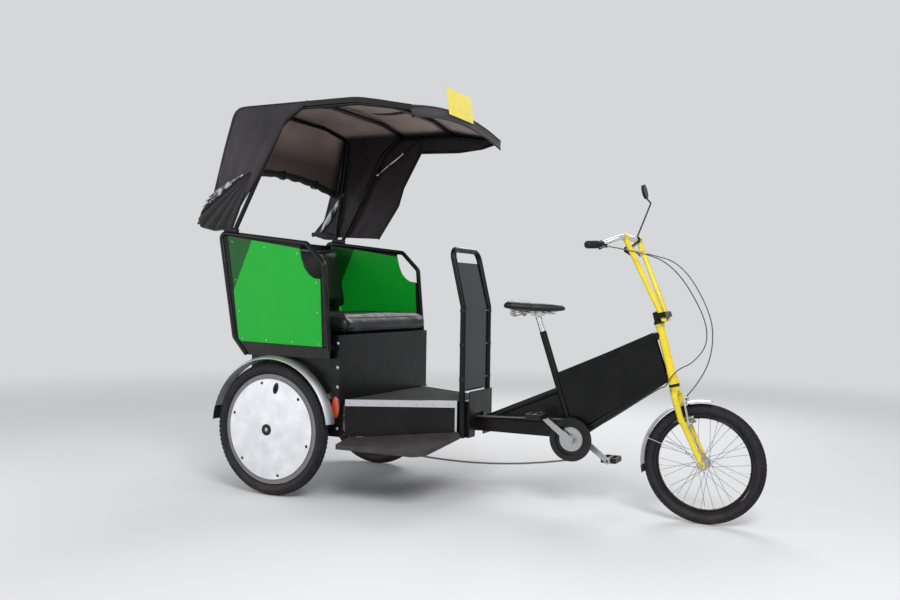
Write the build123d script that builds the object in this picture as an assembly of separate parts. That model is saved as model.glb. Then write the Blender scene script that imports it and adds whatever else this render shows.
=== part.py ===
from build123d import *

import math
import os

# Driving sizes, in millimetres. Stations along X are counted from the rear axle, +X forward,
# +Y to the left, +Z up from the ground. The origin is the middle of the footprint.
WHEELBASE = 1900.0
REAR_OVERHANG = 466.0
TRACK = 948.0
GAP = 0.3
SHAFT_FIT = 0.05

# Wheels
REAR_TYRE_R = 311.0
REAR_TYRE_SECTION = 29.0
REAR_RIM_DEPTH = 30.0
REAR_RIM_WIDTH = 30.0
REAR_BEAD_DROP = 53.0
FRONT_TYRE_R = 254.0
FRONT_TYRE_SECTION = 25.0
FRONT_RIM_DEPTH = 17.0
FRONT_RIM_WIDTH = 28.0
FRONT_BEAD_DROP = 46.0
TYRE_SIDES = 14
RIM_EDGE_ROUND = 4.0
SPOKES_PER_SIDE = 18
SPOKE_R = 1.2
SPOKE_LEAD_ANGLE = 58.0
COVER_EDGE = 24.0
COVER_RISE = 26.0
COVER_WALL = 2.0
COVER_HOLE_R = 25.0
VALVE_SLOT_LENGTH = 26.0
VALVE_SLOT_WIDTH = 11.0
VALVE_SLOT_INSET = 38.0
VALVE_SLOT_ANGLE = 80.0

# Rear axle and chain drive
AXLE_R = 10.0
AXLE_INNER_Y = 53.0
HUB_HALF = 44.0
CHAIN_Y = -45.0
CHAIN_PITCH = 12.7
CHAINRING_TEETH = 44
SPROCKET_TEETH = 20
CHAIN_SAG_R = 2750.0
CHAIN_WIDTH = 8.0
CHAIN_HEIGHT = 9.4
CHAIN_PLATE = 1.4
PLATE_THICK = 2.2

# Cranks
CRANK_SETBACK = 575.0
CRANK_Z = 315.0
CRANK_LENGTH = 170.0
CRANK_ANGLE = 143.0
CRANK_OUT_Y = 66.0
SPINDLE_R = 8.5
SHELL_R = 21.0
SHELL_HALF = 35.0
GUARD_LIP = 9.0
SPIDER_R = 54.0
PEDAL_LENGTH = 92.0
PEDAL_WIDTH = 70.0
PEDAL_THICK = 24.0
PEDAL_PIN_R = 5.0

# Rider's frame
SEAT_TUBE_RUN = 158.0
SEAT_TUBE_RISE = 475.0
TOP_TUBE_RISE = 270.0
HEAD_ANGLE = 14.5
HEAD_SETBACK = 131.0
HEAD_RISE = 330.0
HEAD_LENGTH = 264.0
HEAD_R = 18.0
HEAD_FLARE_R = 24.0
HEAD_FLARE_LENGTH = 70.0
HEAD_COLLAR = 12.0
FRAME_TUBE_R = 17.0
SEAT_TUBE_R = 16.0
SEAT_POST_R = 13.6
SEAT_POST_SHOWN = 78.0
SADDLE_LIFT = 14.0
BEAM_WIDTH = 44.0
BEAM_HEIGHT = 60.0
BEAM_RISE = 60.0
STRUT_RISE = 215.0
STRUT_R = 14.0
GUSSET_THICK = 4.0
PANEL_WALL = 2.0

# Steering
STEERER_R = 12.7
CUP_HEIGHT = 12.0
CUP_R = 23.0
FORK_CROWN_R = 20.0
LEG_Y = 50.0
LEG_R = 13.0
LEG_TIP_R = 10.5
DROPOUT_R = 14.0
DROPOUT_THICK = 6.0
FRONT_AXLE_R = 5.0
YOKE_F = 32.0
RISER_LENGTH = 349.0
RISER_LEAN = 61.0
BAR_R = 11.1
BAR_CENTRE_R = 12.7
BAR_CENTRE_LENGTH = 100.0
RISER_FOOT_Y = 38.0
RISER_TOP_Y = 110.0
GRIP_R = 16.0
GRIP_IN_Y = 222.0
GRIP_OUT_Y = 332.0
BAR_SWEEP = 92.0
BAR_DROP = 44.0
BAR_TAPER = 12.0
CLAMP_R = 17.0
LEVER_CLAMP_R = 16.0
FRONT_GUARD_GAP = 16.0
FRONT_GUARD_WIDTH = 60.0
FRONT_GUARD_DROP = 9.0
FRONT_GUARD_START = 84.0
FRONT_GUARD_END = 186.0
STAY_R = 1.8
BRAKE_BOSS_R = 8.0
BRAKE_F = 27.0
CABLE_R = 2.5

# Cabin
CABIN_FRONT_X = 338.0
CABIN_REAR_X = -170.0
SIDE_CLEARANCE = 25.0
FLOOR_TOP = 460.0
FLOOR_WALL = 4.0
FLOOR_INSET = 35.0
FLOOR_LENGTH = 463.0
FLOOR_FRONT_HALF = 156.0
NOSE_LENGTH = 50.0
NOSE_RISE = 45.0
SKIRT_DEPTH = 168.0
TRIM_HEIGHT = 28.0
TRIM_WALL = 2.0
STEP_WIDTH = 115.0
STEP_THICK = 22.0
STEP_DROP = 3.0
STEP_SLOPE = 0.14
STEP_CORNER_R = 70.0
OUTRIGGER_R = 9.0
HOOP_Y = 140.0
HOOP_R = 14.0
HOOP_TOP_RISE = 705.0
HOOP_KNEE_RISE = 440.0
HOOP_LEAN = 63.0
HOOP_BEND = 45.0
RAIL_R = 15.0
RAIL_Y = 100.0
CROSS_R = 13.0
RAIL_SETBACK = 26.0
SEAT_BOX_RISE = 300.0
SEAT_BOX_WALL = 6.0
SEAT_LEG_DEPTH = 62.0
CUSHION_THICK = 95.0
CUSHION_LIP = 34.0
CUSHION_DEPTH = 482.0
CUSHION_INSET = 8.0
BACK_THICK = 90.0
BACK_HEIGHT = 368.0
BACK_SLOPE = 0.19
PANEL_OUTSET = 30.0
SIDE_PANEL_WALL = 4.0
SIDE_TUBE_R = 12.0
FASCIA_WALL = 3.0
PANEL_LOW = 46.0
PANEL_FALL = 12.0
ARM_RISE = 385.0
ARM_FALL = 60.0
GUARD_GAP = 33.0
GUARD_WIDTH = 70.0
GUARD_DROP = 12.0
GUARD_WALL = 2.0
GUARD_FRONT_ANGLE = 8.0
GUARD_REAR_ANGLE = 165.0
LAMP_R = 30.0

# Canopy
CANOPY_OUTSET = 30.0
CANOPY_CROWN = 50.0
CANOPY_WALL = 3.0
CANOPY_RISE = 980.0
CANOPY_REACH = 393.0
CURTAIN_ROLL_R = 20.0
SIGN_WIDTH = 262.0
SIGN_HEIGHT = 128.0
SIGN_WALL = 3.0
SIGN_LEAN = 8.0
BOW_R = 11.0
BOW_PITCH = 24.0
RAIL_DROP = 24.0
HOOD_STRUT_R = 4.0
FLAP_DRAWN_DROP = 595.0

# Values worked out from the driving sizes
AXLE_X = (REAR_OVERHANG - WHEELBASE - FRONT_TYRE_R) / 2
WHEEL_Y = TRACK / 2
REAR_BEAD_R = REAR_TYRE_R - REAR_BEAD_DROP
FRONT_BEAD_R = FRONT_TYRE_R - FRONT_BEAD_DROP
COVER_R = REAR_BEAD_R - COVER_EDGE
VALVE_SLOT_R = COVER_R - VALVE_SLOT_INSET
CRANK_X = WHEELBASE - CRANK_SETBACK
SEAT_TUBE_TOP = (CRANK_X - SEAT_TUBE_RUN, CRANK_Z + SEAT_TUBE_RISE)
TOP_TUBE_REAR_Z = CRANK_Z + TOP_TUBE_RISE
HEAD_LOW = (WHEELBASE - HEAD_SETBACK, FRONT_TYRE_R + HEAD_RISE)
BEAM_TOP_Z = CRANK_Z + BEAM_RISE
STRUT_FRONT_Z = CRANK_Z + STRUT_RISE
SEAT_BOX_HALF = WHEEL_Y - REAR_TYRE_SECTION - SIDE_CLEARANCE
SEAT_BOX_FRONT_X = CABIN_FRONT_X
SEAT_BOX_REAR_X = CABIN_REAR_X
SEAT_BOX_TOP = FLOOR_TOP + SEAT_BOX_RISE
PANEL_HALF = FRAME_TUBE_R + GAP
SIDE_RAIL_Y = SEAT_BOX_HALF - SEAT_BOX_WALL - RAIL_R - 7
FLOOR_REAR_X = CABIN_FRONT_X + 9
FLOOR_REAR_HALF = SEAT_BOX_HALF - FLOOR_INSET
FLOOR_FRONT_X = FLOOR_REAR_X + FLOOR_LENGTH
NOSE_X = FLOOR_FRONT_X + NOSE_LENGTH
NOSE_TOP = FLOOR_TOP + NOSE_RISE
SKIRT_BOTTOM = FLOOR_TOP - SKIRT_DEPTH
STEP_OUT_Y = FLOOR_REAR_HALF + STEP_WIDTH
STEP_REAR_X = FLOOR_REAR_X + 21
STEP_FRONT_X = FLOOR_FRONT_X + 32
STEP_Z = SKIRT_BOTTOM - STEP_DROP
HOOP_X = FLOOR_FRONT_X + HOOP_R + 4
HOOP_TOP_X = HOOP_X - HOOP_LEAN
HOOP_KNEE_Z = FLOOR_TOP + HOOP_KNEE_RISE
HOOP_TOP_Z = FLOOR_TOP + HOOP_TOP_RISE
STRUT_REAR_X = NOSE_X + 20
BEAM_REAR_X = CABIN_FRONT_X + 2
CUSHION_FRONT_X = CABIN_FRONT_X + CUSHION_LIP
CUSHION_HALF = SEAT_BOX_HALF - CUSHION_INSET
CUSHION_TOP = SEAT_BOX_TOP + GAP + CUSHION_THICK
PANEL_Y = SEAT_BOX_HALF + PANEL_OUTSET
BACK_TOP_Z = CUSHION_TOP + BACK_HEIGHT
GUARD_CROWN_R = REAR_TYRE_R + GUARD_GAP
BACK_LOW_Z = SEAT_BOX_TOP - 60
ARM_Z = CUSHION_TOP + ARM_RISE
CANOPY_HALF = PANEL_Y + CANOPY_OUTSET
ROOF_Z = CUSHION_TOP + CANOPY_RISE
ROOF_R = (CANOPY_HALF**2 + CANOPY_CROWN**2) / (2 * CANOPY_CROWN)
CANOPY_FRONT_X = CABIN_FRONT_X + CANOPY_REACH
BOW_Y = CANOPY_HALF - CANOPY_WALL - BOW_R - GAP
BOW_FOOT_X = CABIN_REAR_X - 100
SHOE_R = BOW_R + 1
REAR_BOW_X = CABIN_REAR_X - 48
MAIN_BOW_X = CABIN_REAR_X + 320
CROSS_BOW_X = CABIN_FRONT_X + 112
# Stations, and distances below the roof's rear edge, of the main bow's knee and the strut's ends
MAIN_KNEE = (CABIN_REAR_X + 198, 93)
STRUT_LOW = (CABIN_REAR_X + 124, 239)
STRUT_HIGH = (CABIN_REAR_X + 432, 29)
SHOE_Y = BOW_Y - 1
ARM_REAR_X = CABIN_REAR_X - 175
ARM_FRONT_X = CABIN_FRONT_X - 173
YOKE_S = HEAD_LENGTH + 2 * GAP + CUP_HEIGHT + 13
BAR_S = YOKE_S + RISER_LENGTH + BAR_R + 5
BAR_F = YOKE_F - RISER_LEAN - 2
FRONT_GUARD_R = FRONT_TYRE_R + FRONT_GUARD_GAP
CROWN_S = -CUP_HEIGHT - 2 * GAP
SPROCKET_OUT_Y = -CHAIN_Y + PLATE_THICK / 2
CHAINRING_R = CHAIN_PITCH / (2 * math.sin(math.pi / CHAINRING_TEETH))
GUARD_R = CHAINRING_R + GUARD_LIP
SPROCKET_R = CHAIN_PITCH / (2 * math.sin(math.pi / SPROCKET_TEETH))
RAIL_Z = FLOOR_TOP - FLOOR_WALL - GAP - RAIL_R


def at(x, y, z):
    """Point at station x forward of the rear axle."""
    return (AXLE_X + x, y, z)


def rod(start, end, radius, end_radius=None):
    """Round bar, or a tapered one, between two points."""
    a = Vector(*start)
    b = Vector(*end)
    plane = Plane(origin=(a + b) / 2, z_dir=b - a)
    if end_radius is None:
        return plane * Cylinder(radius, (b - a).length)
    return plane * Cone(radius, end_radius, (b - a).length)


def tube(points, radius, bend):
    """Round tube along straight runs joined by bends."""
    path = FilletPolyline(*points, radius=bend)
    section = Plane(origin=path @ 0, z_dir=path % 0) * Circle(radius)
    return sweep(section, path=path)


def bow(points, radius, bends):
    """Pieces of a bent bow, one to each straight run and each bend."""
    path = FilletPolyline(*points, radius=bends)
    pieces = []
    for run in path.edges():
        pieces.append(sweep(Plane(origin=run @ 0, z_dir=run % 0) * Circle(radius), path=run))
    return pieces


def plate_xz(points, y_start, y_end):
    """Flat plate with its outline in stations and heights, between two Y planes."""
    outline = Polyline(*[at(x, 0, z) for x, z in points], close=True)
    face = make_face(outline)
    shifted = face.moved(Location((0, y_start, 0)))
    return extrude(shifted, amount=y_end - y_start, dir=(0, 1, 0))


def mirrored(part):
    """The same piece on the other side of the centre plane."""
    return mirror(part, about=Plane.XZ)


def both(part):
    """A piece and its mirror image, as two solids of one node."""
    return Compound(children=[part, mirrored(part)])


def place_wheel(part, station, y, z):
    """Wheel pieces are turned about the Y axis at the origin, then placed."""
    return Pos(*at(station, y, z)) * part


def tyre(outer, section, bead):
    """Tyre ring of flat bands round its section, open where the rim seats."""
    ring = Pos(outer - section, 0) * RegularPolygon(section, TYRE_SIDES)
    below = Pos(bead + GAP - section, 0) * Rectangle(2 * section, 4 * section)
    return revolve(ring - below, Axis.Y, 360)


def rim(bead, depth, width):
    """Rim ring with its inner edges cut off at a slant."""
    channel = Pos(bead - depth / 2, 0) * Rectangle(depth, width)
    inner_corners = channel.vertices().group_by(Axis.X)[0]
    return revolve(chamfer(inner_corners, RIM_EDGE_ROUND), Axis.Y, 360)


def hub(barrel_r, flange_r, flange_y, half_width, bore_r, rim_inner):
    """Hub shell with two flanges and crossed spokes out to the rim."""
    flange_wall = 3.0
    outline = [
        (0, -half_width),
        (barrel_r, -half_width),
        (barrel_r, -flange_y - flange_wall),
        (flange_r, -flange_y - flange_wall / 2),
        (flange_r, -flange_y + flange_wall / 2),
        (barrel_r, -flange_y + flange_wall),
        (barrel_r, flange_y - flange_wall),
        (flange_r, flange_y - flange_wall / 2),
        (flange_r, flange_y + flange_wall / 2),
        (barrel_r, flange_y + flange_wall),
        (barrel_r, half_width),
        (0, half_width),
    ]
    shell = revolve(make_face(Polyline(*outline, close=True)), Axis.Y, 360)
    spokes = []
    for side in (-1, 1):
        for i in range(SPOKES_PER_SIDE):
            lead = SPOKE_LEAD_ANGLE if i % 2 else -SPOKE_LEAD_ANGLE
            root = math.radians(360 / SPOKES_PER_SIDE * (i + side / 4))
            tip = root + math.radians(lead)
            root_r = flange_r - 3
            tip_r = rim_inner - GAP
            root_y = side * (flange_y + (1 if i % 2 else -1))
            inner = Vector(root_r * math.cos(root), root_y, root_r * math.sin(root))
            outer = Vector(tip_r * math.cos(tip), side * 4, tip_r * math.sin(tip))
            section = Plane(origin=inner, z_dir=outer - inner) * RegularPolygon(SPOKE_R, 6)
            spokes.append(extrude(section, amount=(outer - inner).length))
    whole = shell + spokes
    if bore_r:
        whole -= Rot(90, 0, 0) * Cylinder(bore_r, 4 * half_width)
    return whole


def wheel_cover():
    """Shallow cone over the outer side of a rear wheel, outer side towards +Y."""
    seat = REAR_RIM_WIDTH / 2 + GAP
    outline = [
        (COVER_R, seat),
        (COVER_HOLE_R, seat + COVER_RISE),
        (COVER_HOLE_R, seat + COVER_RISE + COVER_WALL),
        (COVER_R, seat + COVER_WALL),
    ]
    cone = revolve(make_face(Polyline(*outline, close=True)), Axis.Y, 360)
    angle = math.radians(VALVE_SLOT_ANGLE)
    spot = (VALVE_SLOT_R * math.cos(angle), seat, VALVE_SLOT_R * math.sin(angle))
    plane = Plane(origin=spot, x_dir=(math.cos(angle), 0, math.sin(angle)), z_dir=(0, -1, 0))
    slot = plane * SlotOverall(VALVE_SLOT_LENGTH, VALVE_SLOT_WIDTH)
    return cone - extrude(slot, amount=4 * COVER_RISE, both=True)


def rear_wheel(side):
    """Pieces of one rear wheel: side is -1 on the right and 1 on the left."""
    rim_inner = REAR_BEAD_R - REAR_RIM_DEPTH
    wheel_hub = hub(23.0, 36.0, 26.0, HUB_HALF, 0, rim_inner)
    shaft_end = AXLE_INNER_Y if side > 0 else SPROCKET_OUT_Y + GAP
    inboard = WHEEL_Y - shaft_end - HUB_HALF - GAP
    shaft = Pos(0, -(HUB_HALF + GAP + inboard / 2), 0) * Rot(90, 0, 0) * Cylinder(AXLE_R, inboard)
    pieces = {
        "tyre": tyre(REAR_TYRE_R, REAR_TYRE_SECTION, REAR_BEAD_R),
        "rim": rim(REAR_BEAD_R, REAR_RIM_DEPTH, REAR_RIM_WIDTH),
        "hub": Compound(children=[wheel_hub, shaft]),
        "cover": wheel_cover(),
    }
    placed = {}
    for name, piece in pieces.items():
        turned = piece if side > 0 else mirror(piece, about=Plane.XZ)
        placed[name] = place_wheel(turned, 0, side * WHEEL_Y, REAR_TYRE_R)
    return placed


def front_wheel():
    rim_inner = FRONT_BEAD_R - FRONT_RIM_DEPTH
    half = LEG_Y - DROPOUT_THICK / 2 - GAP
    pieces = {
        "front_tyre": tyre(FRONT_TYRE_R, FRONT_TYRE_SECTION, FRONT_BEAD_R),
        "front_rim": rim(FRONT_BEAD_R, FRONT_RIM_DEPTH, FRONT_RIM_WIDTH),
        "front_hub": hub(14.0, 24.0, 30.0, half, FRONT_AXLE_R + SHAFT_FIT, rim_inner),
    }
    return {name: place_wheel(p, WHEELBASE, 0, FRONT_TYRE_R) for name, p in pieces.items()}


# Steering frame: s runs up the steering axis from the head tube's lower end, f forward of it
STEER = Plane(
    origin=at(HEAD_LOW[0], 0, HEAD_LOW[1]),
    x_dir=(math.cos(math.radians(HEAD_ANGLE)), 0, math.sin(math.radians(HEAD_ANGLE))),
    z_dir=(-math.sin(math.radians(HEAD_ANGLE)), 0, math.cos(math.radians(HEAD_ANGLE))),
)


def steered(f, y, s):
    """Point in world coordinates from steering coordinates."""
    return tuple(STEER.from_local_coords(Vector(f, y, s)))


def front_hub_in_steering():
    """Forward and upward position of the front axle in steering coordinates."""
    local = STEER.to_local_coords(Vector(*at(WHEELBASE, 0, FRONT_TYRE_R)))
    return local.X, local.Z


def ring_on_axis(s_start, s_end, radius, bore):
    height = s_end - s_start
    ring = Cylinder(radius, height) - Cylinder(bore, 2 * height)
    return STEER * Pos(0, 0, (s_start + s_end) / 2) * ring


def head_tube():
    """Head tube with a flared lower end and a collar at each end."""
    bore = STEERER_R + 2.0
    body = Pos(0, 0, HEAD_LENGTH / 2) * Cylinder(HEAD_R, HEAD_LENGTH)
    flare = Pos(0, 0, HEAD_FLARE_LENGTH / 2) * Cone(HEAD_FLARE_R, HEAD_R, HEAD_FLARE_LENGTH)
    low = Pos(0, 0, HEAD_COLLAR / 2) * Cylinder(HEAD_FLARE_R + 1, HEAD_COLLAR)
    high = Pos(0, 0, HEAD_LENGTH - HEAD_COLLAR / 2) * Cylinder(HEAD_R + 3, HEAD_COLLAR)
    return STEER * (body + flare + low + high - Pos(0, 0, HEAD_LENGTH / 2) * Cylinder(bore, 2 * HEAD_LENGTH))


def headset():
    """Bearing cups above and below the head tube."""
    low = ring_on_axis(-CUP_HEIGHT - GAP, -GAP, CUP_R, STEERER_R + SHAFT_FIT)
    high = ring_on_axis(HEAD_LENGTH + GAP, HEAD_LENGTH + GAP + CUP_HEIGHT, CUP_R, STEERER_R + SHAFT_FIT)
    return Compound(children=[low, high])


def main_frame():
    """Rider's frame: seat tube, top and down tubes, crank shell, beam to the cabin."""
    shell = Pos(*at(CRANK_X, 0, CRANK_Z)) * Rot(90, 0, 0) * Cylinder(SHELL_R, 2 * SHELL_HALF)
    seat_tube = rod(at(CRANK_X, 0, CRANK_Z), at(SEAT_TUBE_TOP[0], 0, SEAT_TUBE_TOP[1]), SEAT_TUBE_R)
    top_tube = rod(seat_tube_point(TOP_TUBE_REAR_Z), steered(0, 0, HEAD_LENGTH - 45), FRAME_TUBE_R)
    down_tube = rod(at(CRANK_X, 0, CRANK_Z), steered(0, 0, 40), FRAME_TUBE_R)
    beam_length = CRANK_X - 10 - BEAM_REAR_X
    beam_spot = at(BEAM_REAR_X + beam_length / 2, 0, BEAM_TOP_Z - BEAM_HEIGHT / 2)
    beam = Pos(*beam_spot) * Box(beam_length, BEAM_WIDTH, BEAM_HEIGHT)
    strut_rear = (STRUT_REAR_X, BEAM_TOP_Z - 5)
    strut_front = seat_tube_point(STRUT_FRONT_Z)
    strut = rod(at(strut_rear[0], 0, strut_rear[1]), strut_front, STRUT_R)
    low_corner = seat_tube_point(BEAM_TOP_Z)
    web = [strut_rear, (strut_front[0] - AXLE_X, strut_front[2]), (low_corner[0] - AXLE_X, BEAM_TOP_Z - 5)]
    gusset = plate_xz(web, -GUSSET_THICK / 2, GUSSET_THICK / 2)
    frame = shell + seat_tube + top_tube + down_tube + beam + strut + gusset
    frame -= STEER * Pos(0, 0, HEAD_LENGTH / 2) * Cylinder(HEAD_R + GAP, 2 * HEAD_LENGTH)
    flare_cut = Pos(0, 0, HEAD_FLARE_LENGTH / 2) * Cone(HEAD_FLARE_R + GAP, HEAD_R + GAP, HEAD_FLARE_LENGTH)
    frame -= STEER * flare_cut
    frame -= Pos(*at(CRANK_X, 0, CRANK_Z)) * Rot(90, 0, 0) * Cylinder(SPINDLE_R + SHAFT_FIT, 4 * SHELL_HALF)
    return frame


def seat_tube_point(z):
    """Point on the seat tube's axis at a height."""
    return at(CRANK_X - (z - CRANK_Z) * SEAT_TUBE_RUN / SEAT_TUBE_RISE, 0, z)


def frame_panel():
    """Blank cover on each side of the frame's triangle."""
    head_top = steered(-HEAD_R - 26, 0, HEAD_LENGTH - 35)
    head_low = steered(-HEAD_R - 12, 0, 40)
    rear_top = seat_tube_point(TOP_TUBE_REAR_Z + 12)
    outline = [
        (CRANK_X + 30, CRANK_Z + 52),
        (rear_top[0] - AXLE_X + 36, rear_top[2]),
        (head_top[0] - AXLE_X, head_top[2]),
        (head_low[0] - AXLE_X, head_low[2]),
    ]
    return plate_xz(outline, PANEL_HALF, PANEL_HALF + PANEL_WALL)


def saddle():
    """Saddle, wide at the rear and narrow at the nose, its underside level on the clamp."""
    sections = (
        # ahead of the post's top, half width, height, underside above the clamp
        (-150, 52, 20, 12),
        (-118, 112, 40, 9),
        (-40, 92, 44, 0),
        (40, 42, 38, 0),
        (124, 20, 24, 6),
    )
    top = Vector(*seat_tube_point(SEAT_TUBE_TOP[1] + SEAT_POST_SHOWN))
    faces = []
    for along, half, tall, lift in sections:
        low = top.Z + SADDLE_LIFT + lift
        corners = [
            (-half * 0.7, low),
            (half * 0.7, low),
            (half, low + tall * 0.35),
            (half * 0.86, low + tall * 0.87),
            (half * 0.4, low + tall),
            (-half * 0.4, low + tall),
            (-half * 0.86, low + tall * 0.87),
            (-half, low + tall * 0.35),
        ]
        faces.append(make_face(Polyline(*[(top.X + along, y, z) for y, z in corners], close=True)))
    return loft(faces, ruled=True)


def seat_post():
    """Post above the seat tube with the clamp and the rails that hold the saddle."""
    foot = Vector(*seat_tube_point(SEAT_TUBE_TOP[1]))
    top = Vector(*seat_tube_point(SEAT_TUBE_TOP[1] + SEAT_POST_SHOWN))
    rise = (top - foot).normalized()
    post = rod(foot + rise * GAP, top, SEAT_POST_R)
    clamp_height = 20.0
    clamp = Pos(top.X, 0, top.Z + SADDLE_LIFT - GAP - clamp_height / 2) * Box(56, 46, clamp_height)
    whole = post + clamp
    for side in (-1, 1):
        whole += rod((top.X - 92, side * 20, top.Z + 8), (top.X + 78, side * 20, top.Z + 6), 3.5)
    return whole


def chain_loop(grow):
    """Outline of the chain in stations and heights, grown outward by a distance."""
    big = Vector(CRANK_X, CRANK_Z)
    small = Vector(0, REAR_TYRE_R)
    r_big = CHAINRING_R + grow
    r_small = SPROCKET_R + grow
    r_sag = CHAIN_SAG_R + grow
    span = big - small
    tilt = math.atan2(span.Y, span.X)
    lean = math.asin((r_big - r_small) / span.length)
    top_angle = tilt + math.pi / 2 + lean
    to_big = r_sag - r_big
    to_small = r_sag - r_small
    along = (to_small**2 - to_big**2 + span.length**2) / (2 * span.length)
    height = math.sqrt(to_small**2 - along**2)
    centre = small + Vector(
        along * math.cos(tilt) - height * math.sin(tilt),
        along * math.sin(tilt) + height * math.cos(tilt),
    )

    def on(middle, radius, angle):
        return (AXLE_X + middle.X + radius * math.cos(angle), middle.Y + radius * math.sin(angle))

    def away(middle):
        return math.atan2(middle.Y - centre.Y, middle.X - centre.X)

    big_low = away(big)
    small_low = away(small)
    bottom = (big_low + small_low) / 2
    arcs = [
        Line(on(small, r_small, top_angle), on(big, r_big, top_angle)),
        ThreePointArc(on(big, r_big, top_angle), on(big, r_big, 0), on(big, r_big, big_low)),
        ThreePointArc(on(big, r_big, big_low), on(centre, r_sag, bottom), on(small, r_small, small_low)),
        ThreePointArc(on(small, r_small, small_low), on(small, r_small, math.pi), on(small, r_small, top_angle)),
    ]
    return make_face(Wire(arcs))


def chain():
    """Chain loop with an open channel on its inner side, where the teeth run."""
    half = CHAIN_HEIGHT / 2
    outer = chain_loop(half)
    inner = chain_loop(-half)
    channel = chain_loop(half - 2.0)
    band = extrude(outer - inner, amount=CHAIN_WIDTH / 2, both=True)
    groove = extrude(channel - inner, amount=CHAIN_WIDTH / 2 - CHAIN_PLATE, both=True)
    upright = Rot(90, 0, 0) * (band - groove)
    return Pos(0, CHAIN_Y, 0) * upright


def toothed_disc(teeth, pitch_r, bore_r):
    """Toothed disc with its axis along Y, teeth shorter than the chain's channel."""
    root = pitch_r - 4.0
    tooth = Pos(pitch_r - 2.5, 0) * Trapezoid(5.0, 6.0, 70, rotation=-90)
    disc = Circle(root) + [Rot(0, 0, 360 / teeth * i) * tooth for i in range(teeth)]
    disc -= Circle(bore_r)
    flat = extrude(disc, amount=PLATE_THICK / 2, both=True)
    return Rot(90, 0, 0) * flat


def chainring():
    """Chainring with a round guard outside it."""
    ring = Pos(*at(CRANK_X, CHAIN_Y, CRANK_Z)) * toothed_disc(CHAINRING_TEETH, CHAINRING_R, SPIDER_R)
    guard = Rot(90, 0, 0) * (Cylinder(GUARD_R, 3) - Cylinder(CHAINRING_R - 16, 8))
    return ring + Pos(*at(CRANK_X, CHAIN_Y - 8.5, CRANK_Z)) * guard + bolts_between()


def bolts_between():
    """Five short spacers between chainring and guard."""
    spots = []
    for i in range(5):
        angle = math.radians(72 * i + 20)
        r = CHAINRING_R - 10
        spot = at(CRANK_X + r * math.cos(angle), CHAIN_Y - 4.5, CRANK_Z + r * math.sin(angle))
        spots.append(Pos(*spot) * Rot(90, 0, 0) * Cylinder(3.5, 8))
    return spots


def crank_arm(side):
    """One crank arm, side -1 right or 1 left, tapering to the pedal eye."""
    angle = math.radians(CRANK_ANGLE if side < 0 else CRANK_ANGLE + 180)
    reach = Vector(math.cos(angle), 0, math.sin(angle)) * CRANK_LENGTH
    root = Vector(*at(CRANK_X, side * CRANK_OUT_Y, CRANK_Z))
    eye = root + reach
    boss = Plane(origin=root, z_dir=(0, 1, 0)) * Cylinder(19, 22)
    tip = Plane(origin=eye, z_dir=(0, 1, 0)) * Cylinder(14, 14)
    along = Plane(origin=root, x_dir=(0, 1, 0), z_dir=reach)
    arm = loft([along * Rectangle(14, 30), along.offset(CRANK_LENGTH) * Rectangle(12, 22)])
    arm_all = boss + tip + arm
    return arm_all - Plane(origin=eye, z_dir=(0, 1, 0)) * Cylinder(PEDAL_PIN_R + SHAFT_FIT, 60)


def crankset():
    """Both crank arms, their spindle and the spider disc that carries the chainring."""
    spindle = Pos(*at(CRANK_X, 0, CRANK_Z)) * Rot(90, 0, 0) * Cylinder(SPINDLE_R, 2 * CRANK_OUT_Y)
    disc = Pos(*at(CRANK_X, CHAIN_Y, CRANK_Z)) * Rot(90, 0, 0) * Cylinder(SPIDER_R - GAP, 5)
    neck = Pos(*at(CRANK_X, CHAIN_Y - 6, CRANK_Z)) * Rot(90, 0, 0) * Cylinder(20, 18)
    return spindle + disc + neck + crank_arm(-1) + crank_arm(1)


def pedal(side):
    """Platform pedal with a cage on both edges, turning on its pin."""
    angle = math.radians(CRANK_ANGLE if side < 0 else CRANK_ANGLE + 180)
    x = CRANK_X + CRANK_LENGTH * math.cos(angle)
    z = CRANK_Z + CRANK_LENGTH * math.sin(angle)
    inner = CRANK_OUT_Y + 7
    body_start = inner + 6
    body_y = side * (body_start + PEDAL_LENGTH / 2)
    pin_length = body_start - inner + 14 + 10
    pin_y = side * (inner - 14 + pin_length / 2)
    pin = Pos(*at(x, pin_y, z)) * Rot(90, 0, 0) * Cylinder(PEDAL_PIN_R, pin_length)
    plate = Pos(*at(x, body_y, z)) * Box(PEDAL_WIDTH, PEDAL_LENGTH, PEDAL_THICK)
    window = Box(PEDAL_WIDTH / 3.2, PEDAL_LENGTH - 18, 2 * PEDAL_THICK)
    for shift in (-1, 1):
        plate -= Pos(*at(x + shift * PEDAL_WIDTH / 4, body_y, z)) * window
    return pin + plate


def differential():
    """Driven middle of the rear axle: barrel, sprocket and the arm that hangs it from the chassis."""
    barrel_left = AXLE_INNER_Y - GAP
    length = barrel_left + SPROCKET_OUT_Y
    middle = (barrel_left - SPROCKET_OUT_Y) / 2
    barrel = Pos(*at(0, middle, REAR_TYRE_R)) * Rot(90, 0, 0) * Cylinder(28, length)
    rib = Pos(*at(0, 10, REAR_TYRE_R)) * Rot(90, 0, 0) * Cylinder(50, 26)
    sprocket = Pos(*at(0, CHAIN_Y, REAR_TYRE_R)) * toothed_disc(SPROCKET_TEETH, SPROCKET_R, 12)
    arm_top = RAIL_Z - RAIL_R + 2 * CROSS_R - 40
    arm = Pos(*at(0, 10, (arm_top + REAR_TYRE_R) / 2)) * Box(46, 20, arm_top - REAR_TYRE_R)
    hanger = Pos(*at(0, 0, RAIL_Z - RAIL_R + CROSS_R)) * Rot(90, 0, 0) * Cylinder(CROSS_R + GAP, TRACK)
    return barrel + rib + sprocket + arm - hanger


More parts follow.
